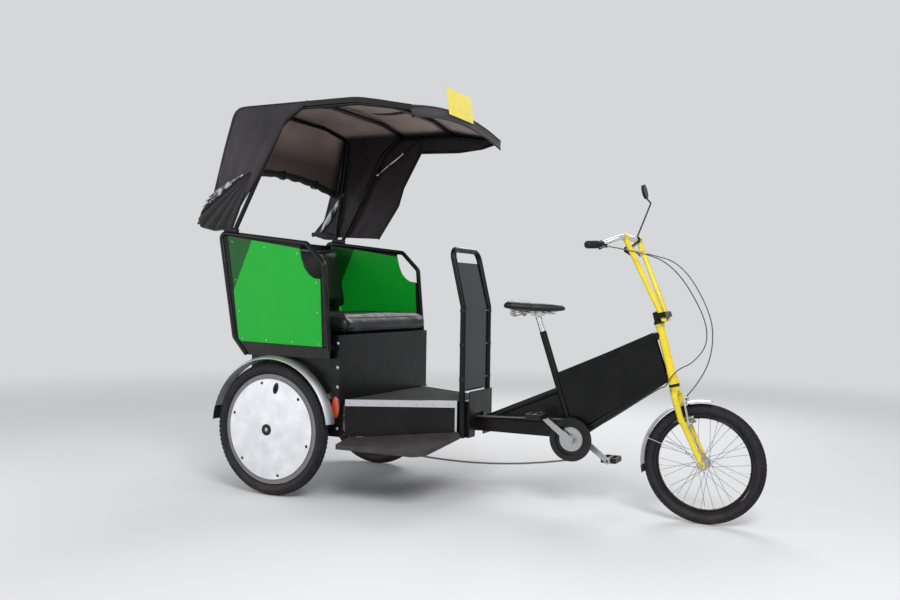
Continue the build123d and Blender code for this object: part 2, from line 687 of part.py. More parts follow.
def step_under(y):
    """Height of the step's underside at a distance y from the centre plane."""
    return STEP_Z + (FLOOR_REAR_HALF - y) * STEP_SLOPE - STEP_THICK


def chassis():
    """Tubes under the cabin, the axle's bearing blocks and the saddles on the rider's beam."""
    rear_x = CABIN_REAR_X + 20
    middle_x = CABIN_FRONT_X - RAIL_SETBACK
    front_x = FLOOR_FRONT_X - 10
    cross_z = RAIL_Z - RAIL_R + CROSS_R
    parts = []
    for side in (-1, 1):
        parts.append(rod(at(rear_x, side * RAIL_Y, RAIL_Z), at(front_x, side * RAIL_Y, RAIL_Z), RAIL_R))
        outer_y = side * SIDE_RAIL_Y
        parts.append(rod(at(rear_x, outer_y, RAIL_Z), at(middle_x, outer_y, RAIL_Z), RAIL_R))
        block_low = REAR_TYRE_R - 26
        block = Box(56, 26, RAIL_Z - block_low)
        parts.append(Pos(*at(0, side * SIDE_RAIL_Y, (RAIL_Z + block_low) / 2)) * block)
    for x, half in (
        (rear_x + 10, SIDE_RAIL_Y),
        (0, SIDE_RAIL_Y),
        (middle_x - 10, SIDE_RAIL_Y),
        (front_x - 20, RAIL_Y + 18),
    ):
        parts.append(rod(at(x, -half, cross_z), at(x, half, cross_z), CROSS_R))
    saddle_height = RAIL_Z - BEAM_TOP_Z - GAP
    for x in (FLOOR_REAR_X + 21, front_x - 20):
        bracket = Box(40, BEAM_WIDTH, saddle_height)
        parts.append(Pos(*at(x, 0, BEAM_TOP_Z + GAP + saddle_height / 2)) * bracket)
    mid_x = FLOOR_REAR_X + 21
    parts.append(rod(at(mid_x, -RAIL_Y, RAIL_Z), at(mid_x, RAIL_Y, RAIL_Z), 12))
    whole = parts[0]
    for piece in parts[1:]:
        whole += piece
    bore = Pos(*at(0, 0, REAR_TYRE_R)) * Rot(90, 0, 0) * Cylinder(AXLE_R + SHAFT_FIT, TRACK)
    return whole - bore


def step_brackets():
    """Four outriggers that carry the steps, each on a post under a chassis rail."""
    outer_y = STEP_OUT_Y - 60
    root_z = step_under(RAIL_Y) - OUTRIGGER_R - GAP
    tip_z = step_under(outer_y) - OUTRIGGER_R - GAP
    post_top = RAIL_Z - RAIL_R - GAP
    brackets = []
    for x in (FLOOR_REAR_X + 83, FLOOR_REAR_X + 353):
        for side in (-1, 1):
            arm = rod(at(x, side * RAIL_Y, root_z), at(x, side * outer_y, tip_z), OUTRIGGER_R)
            post = rod(at(x, side * RAIL_Y, root_z - 4), at(x, side * RAIL_Y, post_top), OUTRIGGER_R + 1)
            brackets.append(arm + post)
    return Compound(children=brackets)


def floor_outline(inset):
    """Half outline of the floor in stations and half widths, then its mirror image."""
    half = [
        (FLOOR_REAR_X + inset, FLOOR_REAR_HALF - inset),
        (FLOOR_FRONT_X - inset, FLOOR_FRONT_HALF - inset),
        (FLOOR_FRONT_X - inset, HOOP_Y - HOOP_R - GAP - inset),
        (NOSE_X - inset, HOOP_Y - HOOP_R - GAP - inset),
    ]
    other = [(x, -y) for x, y in reversed(half)]
    return make_face(Polyline(*[at(x, y, 0) for x, y in half + other], close=True))


def floor_pan():
    """Floor with skirts all round, open below, notched in front for the beam and the chain."""
    outer = Pos(0, 0, SKIRT_BOTTOM) * extrude(floor_outline(0), amount=FLOOR_TOP - SKIRT_BOTTOM)
    inner_height = FLOOR_TOP - FLOOR_WALL - SKIRT_BOTTOM
    inner = Pos(0, 0, SKIRT_BOTTOM - 1) * extrude(floor_outline(FLOOR_WALL), amount=inner_height + 1)
    pan = outer - inner - Pos(-2 * FLOOR_WALL, 0, 0) * inner
    half = HOOP_Y - HOOP_R - GAP
    board_height = NOSE_TOP - FLOOR_TOP + FLOOR_WALL
    board = Box(FLOOR_WALL, 2 * half, board_height)
    pan += Pos(*at(NOSE_X - FLOOR_WALL / 2, 0, NOSE_TOP - board_height / 2)) * board
    notch = Box(90, 92, 2 * (BEAM_TOP_Z + 26 - SKIRT_BOTTOM))
    pan -= Pos(*at(NOSE_X, -16, SKIRT_BOTTOM)) * notch
    return pan


def floor_trim():
    """Bright edging along both sides of the floor and down its front corners."""
    ends = [(FLOOR_REAR_X, FLOOR_REAR_HALF), (FLOOR_FRONT_X, FLOOR_FRONT_HALF)]
    run = Vector(ends[1][0] - ends[0][0], ends[1][1] - ends[0][1])
    normal = Vector(-run.Y, run.X).normalized()
    a = Vector(*ends[0]) + normal * GAP
    b = Vector(*ends[1]) + normal * GAP
    c = b + normal * TRIM_WALL
    d = a + normal * TRIM_WALL
    side = make_face(Polyline(*[at(p.X, p.Y, 0) for p in (a, b, c, d)], close=True))
    strip = Pos(0, 0, FLOOR_TOP - TRIM_HEIGHT) * extrude(side, amount=TRIM_HEIGHT + GAP + TRIM_WALL)
    lip_in = Vector(*ends[0]) - normal * 16
    lip_end = Vector(*ends[1]) - normal * 16
    lip_face = make_face(Polyline(*[at(p.X, p.Y, 0) for p in (lip_in, lip_end, c, d)], close=True))
    lip = Pos(0, 0, FLOOR_TOP + GAP) * extrude(lip_face, amount=TRIM_WALL)
    corner_start = b - run.normalized() * 9
    corner = make_face(
        Polyline(*[at(p.X, p.Y, 0) for p in (corner_start, b, c, corner_start + normal * TRIM_WALL)], close=True)
    )
    post = Pos(0, 0, SKIRT_BOTTOM) * extrude(corner, amount=FLOOR_TOP - SKIRT_BOTTOM)
    return both(strip + lip + post)


def step():
    """Low step beside the floor, falling slightly outward, with a round outer corner."""
    inner = FLOOR_WALL
    outline = [
        (STEP_REAR_X, FLOOR_REAR_HALF + inner),
        (STEP_REAR_X + 6, STEP_OUT_Y),
        (STEP_FRONT_X - 30, STEP_OUT_Y),
        (STEP_FRONT_X, FLOOR_FRONT_HALF + 30),
        (FLOOR_FRONT_X + 6, FLOOR_FRONT_HALF + inner),
    ]
    face = make_face(Polyline(*[at(x, y, 0) for x, y in outline], close=True))
    corner = [v for v in face.vertices() if v.Y > STEP_OUT_Y - 1 and v.X > AXLE_X + 700]
    face = fillet(corner, STEP_CORNER_R)
    block = Pos(0, 0, STEP_Z - 100) * extrude(face, amount=200)
    fall = math.degrees(math.atan(STEP_SLOPE))
    slab = Box(2000, 1200, STEP_THICK)
    middle_z = step_under(250) + STEP_THICK / 2
    tilted = Pos(*at(600, 250, middle_z)) * Rot(-fall, 0, 0) * slab
    return block & tilted


def seat_box():
    """Box under the bench: front board, top board, sides, and a leg down each front corner."""
    low = RAIL_Z + RAIL_R + 8
    wall = SEAT_BOX_WALL
    leg_x = SEAT_BOX_FRONT_X - SEAT_LEG_DEPTH
    outer = plate_xz(
        [
            (SEAT_BOX_REAR_X, low),
            (leg_x, low),
            (leg_x, SKIRT_BOTTOM),
            (SEAT_BOX_FRONT_X, SKIRT_BOTTOM),
            (SEAT_BOX_FRONT_X, SEAT_BOX_TOP),
            (SEAT_BOX_REAR_X, SEAT_BOX_TOP),
        ],
        -SEAT_BOX_HALF,
        SEAT_BOX_HALF,
    )
    inner = plate_xz(
        [
            (SEAT_BOX_REAR_X - wall, SKIRT_BOTTOM - 1),
            (SEAT_BOX_FRONT_X - wall, SKIRT_BOTTOM - 1),
            (SEAT_BOX_FRONT_X - wall, SEAT_BOX_TOP - wall),
            (SEAT_BOX_REAR_X - wall, SEAT_BOX_TOP - wall),
        ],
        -SEAT_BOX_HALF + wall,
        SEAT_BOX_HALF - wall,
    )
    between = plate_xz(
        [
            (leg_x - 1, SKIRT_BOTTOM - 1),
            (SEAT_BOX_FRONT_X + 1, SKIRT_BOTTOM - 1),
            (SEAT_BOX_FRONT_X + 1, FLOOR_TOP + GAP),
            (leg_x - 1, FLOOR_TOP + GAP),
        ],
        -FLOOR_REAR_HALF,
        FLOOR_REAR_HALF,
    )
    return outer - inner - between


def seat_cushion():
    """Bench cushion on the seat box."""
    bottom = SEAT_BOX_TOP + GAP
    middle = CUSHION_FRONT_X - CUSHION_DEPTH / 2
    block = Box(CUSHION_DEPTH, 2 * CUSHION_HALF, CUSHION_THICK)
    block = fillet(block.edges().group_by(Axis.Z)[-1], 24)
    return Pos(*at(middle, 0, bottom + CUSHION_THICK / 2)) * block


def back_cushion():
    """Back rest leaning rearward in front of the back panel."""
    low_z = CUSHION_TOP + GAP
    low_x = back_panel_x(low_z) + GAP
    top_x = back_panel_x(BACK_TOP_Z - 8) + GAP
    outline = [
        (low_x, low_z),
        (low_x + BACK_THICK, low_z),
        (top_x + BACK_THICK, BACK_TOP_Z - 8),
        (top_x, BACK_TOP_Z - 8),
    ]
    pad = plate_xz(outline, -CUSHION_HALF, CUSHION_HALF)
    front = pad.faces().sort_by(Axis.X)[-1]
    return fillet(front.edges(), 22)


def back_panel_x(z):
    """Station of the back panel's front face at a height."""
    return CABIN_REAR_X - 36 - (z - BACK_LOW_Z) * BACK_SLOPE


def back_panel():
    """Rear wall of the cabin between the side frames, with a shelf forward to the seat box."""
    half = PANEL_Y - SIDE_TUBE_R - 6
    outline = [
        (back_panel_x(BACK_LOW_Z) - SEAT_BOX_WALL, BACK_LOW_Z),
        (back_panel_x(BACK_LOW_Z), BACK_LOW_Z),
        (back_panel_x(BACK_TOP_Z), BACK_TOP_Z),
        (back_panel_x(BACK_TOP_Z) - SEAT_BOX_WALL, BACK_TOP_Z),
    ]
    wall = plate_xz(outline, -half, half)
    shelf = plate_xz(
        [
            (back_panel_x(BACK_LOW_Z) - 3, BACK_LOW_Z),
            (CABIN_REAR_X - GAP, BACK_LOW_Z),
            (CABIN_REAR_X - GAP, BACK_LOW_Z + 4),
            (back_panel_x(BACK_LOW_Z) - 3, BACK_LOW_Z + 4),
        ],
        -SEAT_BOX_HALF,
        SEAT_BOX_HALF,
    )
    return wall + shelf


def side_panel():
    """Coloured side panel with a concave notch at its upper front corner."""
    top_z = ARM_Z - 23
    low_z = SEAT_BOX_TOP - PANEL_LOW
    front_x = CABIN_FRONT_X - 83
    rear_x = CABIN_REAR_X - 126
    straight = Polyline(
        at(rear_x, 0, top_z),
        at(rear_x + 34, 0, top_z - 206),
        at(rear_x + 76, 0, low_z + 14),
        at(rear_x + 88, 0, low_z),
        at(front_x, 0, low_z - PANEL_FALL),
        at(front_x - 16, 0, top_z - 200),
    )
    notch = ThreePointArc(
        at(front_x - 16, 0, top_z - 200),
        at(front_x - 96, 0, top_z - 152),
        at(front_x - 126, 0, top_z - 66),
    )
    top = Line(at(front_x - 126, 0, top_z - 66), at(rear_x, 0, top_z))
    face = make_face(Wire([*straight.edges(), notch, top]))
    shifted = face.moved(Location((0, PANEL_Y - SIDE_PANEL_WALL / 2, 0)))
    return extrude(shifted, amount=SIDE_PANEL_WALL, dir=(0, 1, 0))


def side_frame():
    """Tube round one side panel and the black fascia below the panel, returned to the seat box."""
    low_z = SEAT_BOX_TOP - 105
    front_x = CABIN_FRONT_X - 38
    rear_x = CABIN_REAR_X - 8
    run = [
        (rear_x, low_z),
        (rear_x - 74, low_z + 80),
        (ARM_REAR_X, ARM_Z),
        (ARM_FRONT_X, ARM_Z - ARM_FALL),
        (front_x - 38, ARM_Z - 155),
        (front_x, low_z + 30),
    ]
    loop = tube([at(x, PANEL_Y, z) for x, z in run], SIDE_TUBE_R, 26)
    panel_rear_z = SEAT_BOX_TOP - PANEL_LOW - GAP
    fascia = plate_xz(
        [
            (rear_x - 4, low_z - 4),
            (front_x + 4, low_z - 4),
            (front_x + 4, low_z + 42),
            (front_x - 45, panel_rear_z - PANEL_FALL),
            (CABIN_REAR_X - 38, panel_rear_z),
        ],
        PANEL_Y - FASCIA_WALL / 2,
        PANEL_Y + FASCIA_WALL / 2,
    )
    sill = plate_xz(
        [
            (rear_x - 4, low_z - 4),
            (front_x + 4, low_z - 4),
            (front_x + 4, low_z - 4 + FASCIA_WALL),
            (rear_x - 4, low_z - 4 + FASCIA_WALL),
        ],
        SEAT_BOX_HALF + GAP,
        PANEL_Y,
    )
    return loop + fascia + sill


def rear_mudguard():
    """Curved guard over a rear wheel, with tabs to the seat box and a stay to the chassis."""
    edge_r = GUARD_CROWN_R - GUARD_DROP
    half = GUARD_WIDTH / 2
    band = guard_band(GUARD_CROWN_R, GUARD_WIDTH, GUARD_DROP, GUARD_WALL, GUARD_FRONT_ANGLE, GUARD_REAR_ANGLE)
    guard = place_wheel(band, 0, WHEEL_Y, REAR_TYRE_R)
    tab_y = WHEEL_Y - half + 6 - SEAT_BOX_HALF - GAP
    tab_wall = GUARD_WALL + 1.6
    for angle in (30, 90):
        turn = math.radians(angle)
        r = edge_r - GUARD_WALL / 2
        spot = at(r * math.cos(turn), SEAT_BOX_HALF + GAP + tab_y / 2, REAR_TYRE_R + r * math.sin(turn))
        guard += Pos(*spot) * Rot(0, 90 - angle, 0) * Box(26, tab_y, tab_wall)
    turn = math.radians(152)
    r = edge_r - GUARD_WALL / 2
    start = at(r * math.cos(turn), WHEEL_Y - half + 3, REAR_TYRE_R + r * math.sin(turn))
    end = at(CABIN_REAR_X + 20 - GAP - 1.7, SIDE_RAIL_Y + 4, RAIL_Z)
    return guard + rod(start, end, 4)


def mudflap():
    """Rubber flap that carries on from the rear end of a rear guard."""
    after = GUARD_REAR_ANGLE + math.degrees(GAP / GUARD_CROWN_R)
    band = guard_band(GUARD_CROWN_R + 0.5, GUARD_WIDTH - 8, GUARD_DROP - 2, 3, after, after + 11)
    return place_wheel(band, 0, WHEEL_Y, REAR_TYRE_R)


def reflector():
    """Oval side reflector on the seat box's front leg."""
    lens = extrude(Plane.XZ * Ellipse(15, 33), amount=-7)
    return Pos(*at(CABIN_FRONT_X - 20, SEAT_BOX_HALF + GAP, FLOOR_TOP - 32)) * lens


def rear_lamp():
    """Round rear lamp on the back panel."""
    z = BACK_LOW_Z + LAMP_R + 30
    lean = math.degrees(math.atan(BACK_SLOPE))
    centre = back_panel_x(z) - (SEAT_BOX_WALL + GAP + 11.5) / math.cos(math.radians(lean))
    return Pos(*at(centre, PANEL_Y - 120, z)) * Rot(0, -lean, 0) * Rot(0, 90, 0) * Cylinder(LAMP_R, 22)


def canopy_frame():
    """Rear bow and main bow off the arm rests, side rails forward to a cross bow and the front rail, and a strut."""
    low_drop = 10
    front_x = CANOPY_FRONT_X - 22
    rail_r = 8.0
    rear_foot_x = BOW_FOOT_X - BOW_PITCH
    main_foot_x = BOW_FOOT_X + BOW_PITCH
    rear_feet = [at(rear_foot_x, side * BOW_Y, shoe_z(rear_foot_x)) for side in (-1, 1)]
    main_feet = [at(main_foot_x, side * BOW_Y, shoe_z(main_foot_x)) for side in (-1, 1)]
    knees = [at(MAIN_KNEE[0], side * BOW_Y, ROOF_Z - MAIN_KNEE[1]) for side in (-1, 1)]
    rear_top = bow_across(REAR_BOW_X, BOW_R, low_drop)
    main_top = bow_across(MAIN_BOW_X, BOW_R, low_drop)
    cross_top = bow_across(CROSS_BOW_X, BOW_R, low_drop)
    front_top = bow_across(front_x, rail_r, rail_r + 4)
    parts = bow([rear_feet[0], *rear_top, rear_feet[1]], BOW_R, [60, 200, 200, 60])
    main_points = [main_feet[0], knees[0], *main_top, knees[1], main_feet[1]]
    parts += bow(main_points, BOW_R, [120, 50, 200, 200, 50, 120])
    parts += bow(cross_top, BOW_R, [200, 200])
    parts += bow(front_top, rail_r, [200, 200])
    for side in (-1, 1):
        shoe_rear = BOW_FOOT_X - BOW_PITCH - BOW_R - 4
        shoe_front = BOW_FOOT_X + BOW_PITCH + BOW_R + 4
        rear_end = at(shoe_rear, side * SHOE_Y, shoe_z(shoe_rear))
        front_end = at(shoe_front, side * SHOE_Y, shoe_z(shoe_front))
        parts.append(rod(rear_end, front_end, SHOE_R))
        rail_start = at(MAIN_BOW_X - 6, side * SHOE_Y, roof_edge_z(MAIN_BOW_X) - RAIL_DROP)
        rail_knee = at(CROSS_BOW_X, side * SHOE_Y, roof_edge_z(CROSS_BOW_X) - RAIL_DROP)
        rail_end = at(front_x - 1, side * SHOE_Y, front_top[0][2] - 1)
        parts.append(rod(rail_start, rail_knee, rail_r + 1))
        parts.append(rod(rail_knee, rail_end, rail_r + 1))
    strut_low = at(STRUT_LOW[0], SHOE_Y - 6, ROOF_Z - STRUT_LOW[1])
    strut_high = at(STRUT_HIGH[0], SHOE_Y - 6, ROOF_Z - STRUT_HIGH[1])
    parts.append(rod(strut_low, strut_high, HOOD_STRUT_R))
    return parts[0].fuse(*parts[1:], tol=0.001)


def canopy_cover():
    """Cloth over the bows: arched roof, rolled rear curtain, side flaps and the roll at the rear."""
    rear_x = CABIN_REAR_X - 68
    bend_x = CABIN_FRONT_X + 116
    bend_z = roof_edge_z(bend_x)
    front_z = roof_edge_z(CANOPY_FRONT_X)
    hem_x = rear_x - 62
    hem_z = ROOF_Z - 310
    wall = CANOPY_WALL
    crown = CANOPY_CROWN
    profile = [
        (hem_x, hem_z),
        (rear_x, ROOF_Z),
        (bend_x, bend_z),
        (CANOPY_FRONT_X, front_z),
        (CANOPY_FRONT_X, front_z - 14),
        (CANOPY_FRONT_X - wall, front_z - 14),
        (CANOPY_FRONT_X - wall, front_z - wall),
        (bend_x, bend_z - wall),
        (rear_x + wall, ROOF_Z - wall),
        (hem_x + wall, hem_z),
    ]
    face = make_face(Polyline(*[at(x, 0, z + crown) for x, z in profile], close=True))
    roll = make_face(Wire([Edge.make_circle(CURTAIN_ROLL_R, Plane.XZ)]))
    roll = roll.moved(Location(at(hem_x + wall - CURTAIN_ROLL_R / 2, 0, hem_z + crown)))
    spin_axis = Axis(at(0, 0, ROOF_Z + crown - ROOF_R), (1, 0, 0))
    half_turn = 1.2 * math.degrees(math.asin(CANOPY_HALF / ROOF_R))
    skin = revolve(face + roll, spin_axis, 2 * half_turn)
    skin = skin.rotate(spin_axis, -half_turn)
    skin &= Pos(*at(0, 0, ROOF_Z)) * Box(4000, 2 * CANOPY_HALF, 2000)
    skin += flap(LEFT_FLAP)
    skin += mirrored(flap(RIGHT_FLAP))
    for side in (-1, 1):
        start = at(BOW_FOOT_X - 40, side * (CANOPY_HALF - 8), ARM_Z + 38)
        end = at(BOW_FOOT_X - 188, side * (CANOPY_HALF - 8), ARM_Z + 56)
        skin += rod(start, end, CURTAIN_ROLL_R)
    return skin


# Outlines of the side flaps: distance ahead of the cabin's rear wall, height above the roof's edge
RIGHT_FLAP = [
    (-68, -1),
    (353, -5),
    (212, -78),
    (139, -214),
    (53, -351),
    (-35, -467),
    (-107, -573),
    (-296, -552),
    (-209, -461),
    (-132, -197),
]
LEFT_FLAP = [
    (-68, -1),
    (624, -8),
    (900, -66),
    (794, -100),
    (657, -111),
    (424, -102),
    (313, -291),
    (282, -390),
    (155, -573),
    (-296, -552),
    (-209, -461),
    (-132, -197),
]


def sign_plate():
    """Blank plate standing in front of the canopy's front hem, leaning back."""
    plate = Box(SIGN_WALL, SIGN_WIDTH, SIGN_HEIGHT)
    lean = math.radians(SIGN_LEAN)
    hem_top = roof_edge_z(CANOPY_FRONT_X) + CANOPY_CROWN
    middle_z = hem_top + 38
    x = CANOPY_FRONT_X + GAP + SIGN_WALL / 2 / math.cos(lean) - (middle_z - hem_top) * math.tan(lean)
    return Pos(*at(x, 0, middle_z)) * Rot(0, -SIGN_LEAN, 0) * plate


def grab_hoop():
    """Hoop between rider and cabin, its feet at the floor's front corners."""
    right = [
        at(HOOP_X, -HOOP_Y, SKIRT_BOTTOM),
        at(HOOP_X, -HOOP_Y, HOOP_KNEE_Z),
        at(HOOP_TOP_X, -HOOP_Y, HOOP_TOP_Z),
    ]
    left = [(x, -y, z) for x, y, z in reversed(right)]
    return tube(right + left, HOOP_R, HOOP_BEND)


def hoop_panel():
    """Blank panel between the hoop's uprights."""
    y = HOOP_Y - HOOP_R - GAP
    outline = [
        (HOOP_X - 2, NOSE_TOP + GAP),
        (HOOP_X + 2, NOSE_TOP + GAP),
        (HOOP_X + 2, HOOP_KNEE_Z),
        (HOOP_TOP_X + 14, HOOP_TOP_Z - 60),
        (HOOP_TOP_X + 10, HOOP_TOP_Z - 60),
        (HOOP_X - 2, HOOP_KNEE_Z),
    ]
    return plate_xz(outline, -y, y)


def fork():
    """Fork with curved legs, steerer, brake bosses and dropouts."""
    hub_f, hub_s = front_hub_in_steering()
    steerer_top = HEAD_LENGTH + 2 * GAP + CUP_HEIGHT + 44
    steerer = rod(steered(0, 0, CROWN_S - 16), steered(0, 0, steerer_top), STEERER_R)
    crown = rod(steered(0, 0, CROWN_S), steered(0, 0, CROWN_S - 18), FORK_CROWN_R)
    whole = steerer + crown
    for side in (-1, 1):
        shoulder = [
            steered(0, side * 6, CROWN_S - 14),
            steered(1, side * LEG_Y, CROWN_S - 32),
            steered(5, side * LEG_Y, CROWN_S - 150),
        ]
        whole += tube(shoulder, LEG_R, 24)
        blade_start = steered(4, side * LEG_Y, CROWN_S - 125)
        whole += rod(blade_start, steered(hub_f - 3, side * LEG_Y, hub_s + 16), LEG_R - 0.5, LEG_TIP_R)
        ear = Pos(*at(WHEELBASE, side * LEG_Y, FRONT_TYRE_R)) * Rot(90, 0, 0) * Cylinder(DROPOUT_R, DROPOUT_THICK)
        tang = rod(steered(hub_f - 4, side * LEG_Y, hub_s + 24), steered(hub_f, side * LEG_Y, hub_s + 4), 2.9)
        whole += ear + tang
        boss_y = side * (LEG_Y - 3)
        boss_s = brake_pivot_s()
        whole += rod(steered(6, boss_y, boss_s), steered(BRAKE_F - GAP, boss_y, boss_s), BRAKE_BOSS_R - 1)
    between = Pos(*at(WHEELBASE, 0, FRONT_TYRE_R)) * Rot(90, 0, 0)
    whole -= between * Cylinder(38, 2 * (LEG_Y - DROPOUT_THICK / 2))
    whole -= between * Cylinder(FRONT_AXLE_R + GAP, 4 * LEG_Y)
    return whole


def front_axle():
    """Axle through the front hub, with a nut outside each dropout."""
    place = Pos(*at(WHEELBASE, 0, FRONT_TYRE_R)) * Rot(90, 0, 0)
    half = LEG_Y + DROPOUT_THICK / 2 + GAP
    nut = extrude(RegularPolygon(9, 6), amount=9)
    bar = Cylinder(FRONT_AXLE_R, 2 * half + 24)
    return place * (bar + Pos(0, 0, half) * nut + Pos(0, 0, -half - 9) * nut)


def stem():
    """Clamp on the steerer with a yoke bored for both risers."""
    low = HEAD_LENGTH + 2 * GAP + CUP_HEIGHT + GAP
    collar = ring_on_axis(low, low + 40, 19, STEERER_R + GAP)
    arm = STEER * Pos(YOKE_F - 4, 0, low + 20) * Box(40, 2 * RISER_FOOT_Y + 40, 24)
    whole = collar + arm - STEER * Pos(0, 0, low) * Cylinder(STEERER_R + GAP, 200)
    for side in (-1, 1):
        foot, top = riser_ends(side)
        whole -= rod(foot, top, BAR_R + GAP)
    return whole


def risers():
    """Two tubes spreading up to clamps round the bar, joined by a gusset and a cross tube."""
    foot, top = riser_ends(1)
    whole = None
    for side in (-1, 1):
        tube_piece = rod(*riser_ends(side), BAR_R)
        clamp = Pos(*steered(BAR_F, side * RISER_TOP_Y, BAR_S)) * Rot(90, 0, 0) * Cylinder(CLAMP_R, 26)
        piece = tube_piece + clamp
        whole = piece if whole is None else whole + piece
    run = top - foot
    low = foot + run * 0.16
    high = foot + run * 0.30
    flat = Plane(origin=(low.X, 0, low.Z), x_dir=(0, 1, 0), z_dir=(-run.Z, 0, run.X))
    corners = [(low.X, -low.Y, low.Z), (low.X, low.Y, low.Z), (high.X, high.Y, high.Z), (high.X, -high.Y, high.Z)]
    gusset = extrude(make_face(Polyline(*corners, close=True)), amount=1.5, both=True, dir=flat.z_dir)
    cross = foot + run * 0.88
    whole += gusset + rod((cross.X, -cross.Y, cross.Z), (cross.X, cross.Y, cross.Z), 8)
    return whole - Pos(*steered(BAR_F, 0, BAR_S)) * Rot(90, 0, 0) * Cylinder(BAR_R + GAP, 4 * RISER_TOP_Y)


def handlebar():
    """Bar with a thicker middle, swept back on both sides to the grips."""
    middle = Vector(*steered(BAR_F, 0, BAR_S))
    half = BAR_CENTRE_LENGTH / 2
    taper_end = half + BAR_TAPER
    whole = Pos(*middle) * Rot(90, 0, 0) * Cylinder(BAR_CENTRE_R, BAR_CENTRE_LENGTH)
    for side in (-1, 1):
        inner = middle + Vector(0, side * half, 0)
        outer = middle + Vector(0, side * taper_end, 0)
        whole += rod(inner, outer, BAR_CENTRE_R, BAR_R)
        points = [outer, middle + Vector(0, side * (RISER_TOP_Y + 36), 0), *grip_ends(side)]
        whole += tube(points, BAR_R, 40)
    return whole


def grip_ends(side):
    """Two points of the bar's axis, inside and outside one grip."""
    middle = Vector(*steered(BAR_F, 0, BAR_S))
    inner = middle + Vector(16 - BAR_SWEEP, side * (GRIP_IN_Y - 16), 8 - BAR_DROP)
    outer = middle + Vector(-BAR_SWEEP, side * (GRIP_OUT_Y + 6), -BAR_DROP)
    return inner, outer


def grip_line(side):
    """Start, direction and length of the bar's axis under one grip."""
    inner, outer = grip_ends(side)
    return inner, (outer - inner).normalized(), (outer - inner).length


def grips():
    parts = []
    for side in (-1, 1):
        start, along, length = grip_line(side)
        a = start + along * 38
        b = start + along * (length + 4)
        sleeve = rod(a, b, GRIP_R)
        hole = rod(a - along, start + along * (length + GAP), BAR_R + GAP)
        parts.append(sleeve - hole)
    return Compound(children=parts)


def brake_levers():
    """Lever bracket on the bar inside each grip and its blade in front of the grip."""
    parts = []
    for side in (-1, 1):
        start, along, length = grip_line(side)
        clamp = rod(start + along * 20, start + along * 36, LEVER_CLAMP_R)
        mount = lever_body(side)
        body = Pos(*mount) * Box(30, 18, 14)
        blade_end = start + along * (length - 18) + Vector(44, 0, -18)
        blade = rod(mount + Vector(10, 0, 0), blade_end, 4)
        whole = clamp + body + blade - rod(start, start + along * 60, BAR_R + GAP)
        parts.append(whole)
    return Compound(children=parts)


def lever_body(side):
    """Middle of one lever's body, ahead of the bar."""
    start, along, _ = grip_line(side)
    return start + along * 28 + Vector(24, 0, -6)


def cable_start(side):
    """Where a brake cable leaves the inner face of its lever's body."""
    return lever_body(side) + Vector(8, -side * (9 + GAP), 0)


def mirror_on_bar():
    """Rear view mirror on a bent stalk, clamped to the left half of the bar."""
    middle = Vector(*steered(BAR_F, 0, BAR_S))
    clamp_y = RISER_TOP_Y - 26
    ring = Cylinder(LEVER_CLAMP_R, 12) - Cylinder(BAR_R + GAP, 24)
    ring = Pos(middle.X, clamp_y, middle.Z) * Rot(90, 0, 0) * ring
    foot = (middle.X + 2, clamp_y, middle.Z + 14)
    knee = (middle.X + 46, clamp_y + 58, middle.Z + 168)
    tip = (middle.X + 20, clamp_y + 62, middle.Z + 196)
    stalk = tube([foot, knee, tip], 3.5, 9)
    head = Pos(tip[0] - 4, tip[1] + 4, tip[2] + 26) * Rot(0, 78, 0) * Cylinder(33, 10)
    return ring + stalk + head


def front_brake():
    """Two brake arms on the fork's bosses with pads beside the rim, and the wire between their tops."""
    low_s = brake_pivot_s()
    top_s = low_s + 106
    pad_s = low_s + 24
    whole = None
    for side in (-1, 1):
        pivot_y = side * (LEG_Y - 3)
        top_y = side * (LEG_Y - 16)
        pivot = rod(steered(BRAKE_F, pivot_y, low_s), steered(BRAKE_F + 11, pivot_y, low_s), BRAKE_BOSS_R)
        arm = rod(steered(BRAKE_F + 6, pivot_y, low_s), steered(BRAKE_F + 6, top_y, top_s), 5)
        post = rod(steered(BRAKE_F + 4, side * (LEG_Y - 8), pad_s), steered(BRAKE_F + 4, side * 26, pad_s), 3)
        pad = STEER * Pos(BRAKE_F + 4, side * 23.5, pad_s) * Box(48, 7, 10)
        piece = pivot + arm + post + pad
        whole = piece if whole is None else whole + piece
    link_s = top_s - 4
    return whole + rod(steered(BRAKE_F + 6, -LEG_Y + 14, link_s), steered(BRAKE_F + 6, LEG_Y - 14, link_s), 2.2)


def front_mudguard():
    """Short guard round the front tyre with a strap to the fork's crown and wire stays to its legs."""
    wall = 1.6
    angles = (FRONT_GUARD_START, FRONT_GUARD_END)
    band = guard_band(FRONT_GUARD_R, FRONT_GUARD_WIDTH, FRONT_GUARD_DROP, wall, *angles)
    guard = place_wheel(band, WHEELBASE, 0, FRONT_TYRE_R)
    hub_f, hub_s = front_hub_in_steering()
    strap_f = -FORK_CROWN_R - GAP - 1.5
    strap_low = hub_s + math.sqrt(FRONT_GUARD_R**2 - (hub_f - strap_f) ** 2) - 4
    strap_high = CROWN_S - 4
    strap = Box(3, 22, strap_high - strap_low)
    guard += STEER * Pos(strap_f, 0, (strap_high + strap_low) / 2) * strap
    for side in (-1, 1):
        turn = math.radians(158)
        r = FRONT_GUARD_R - FRONT_GUARD_DROP - wall / 2
        start = at(
            WHEELBASE + r * math.cos(turn),
            side * (FRONT_GUARD_WIDTH / 2 - 1),
            FRONT_TYRE_R + r * math.sin(turn),
        )
        end = steered(hub_f - 8, side * (LEG_Y + LEG_R + STAY_R + GAP), hub_s + 34)
        guard += rod(start, end, STAY_R)
    return guard


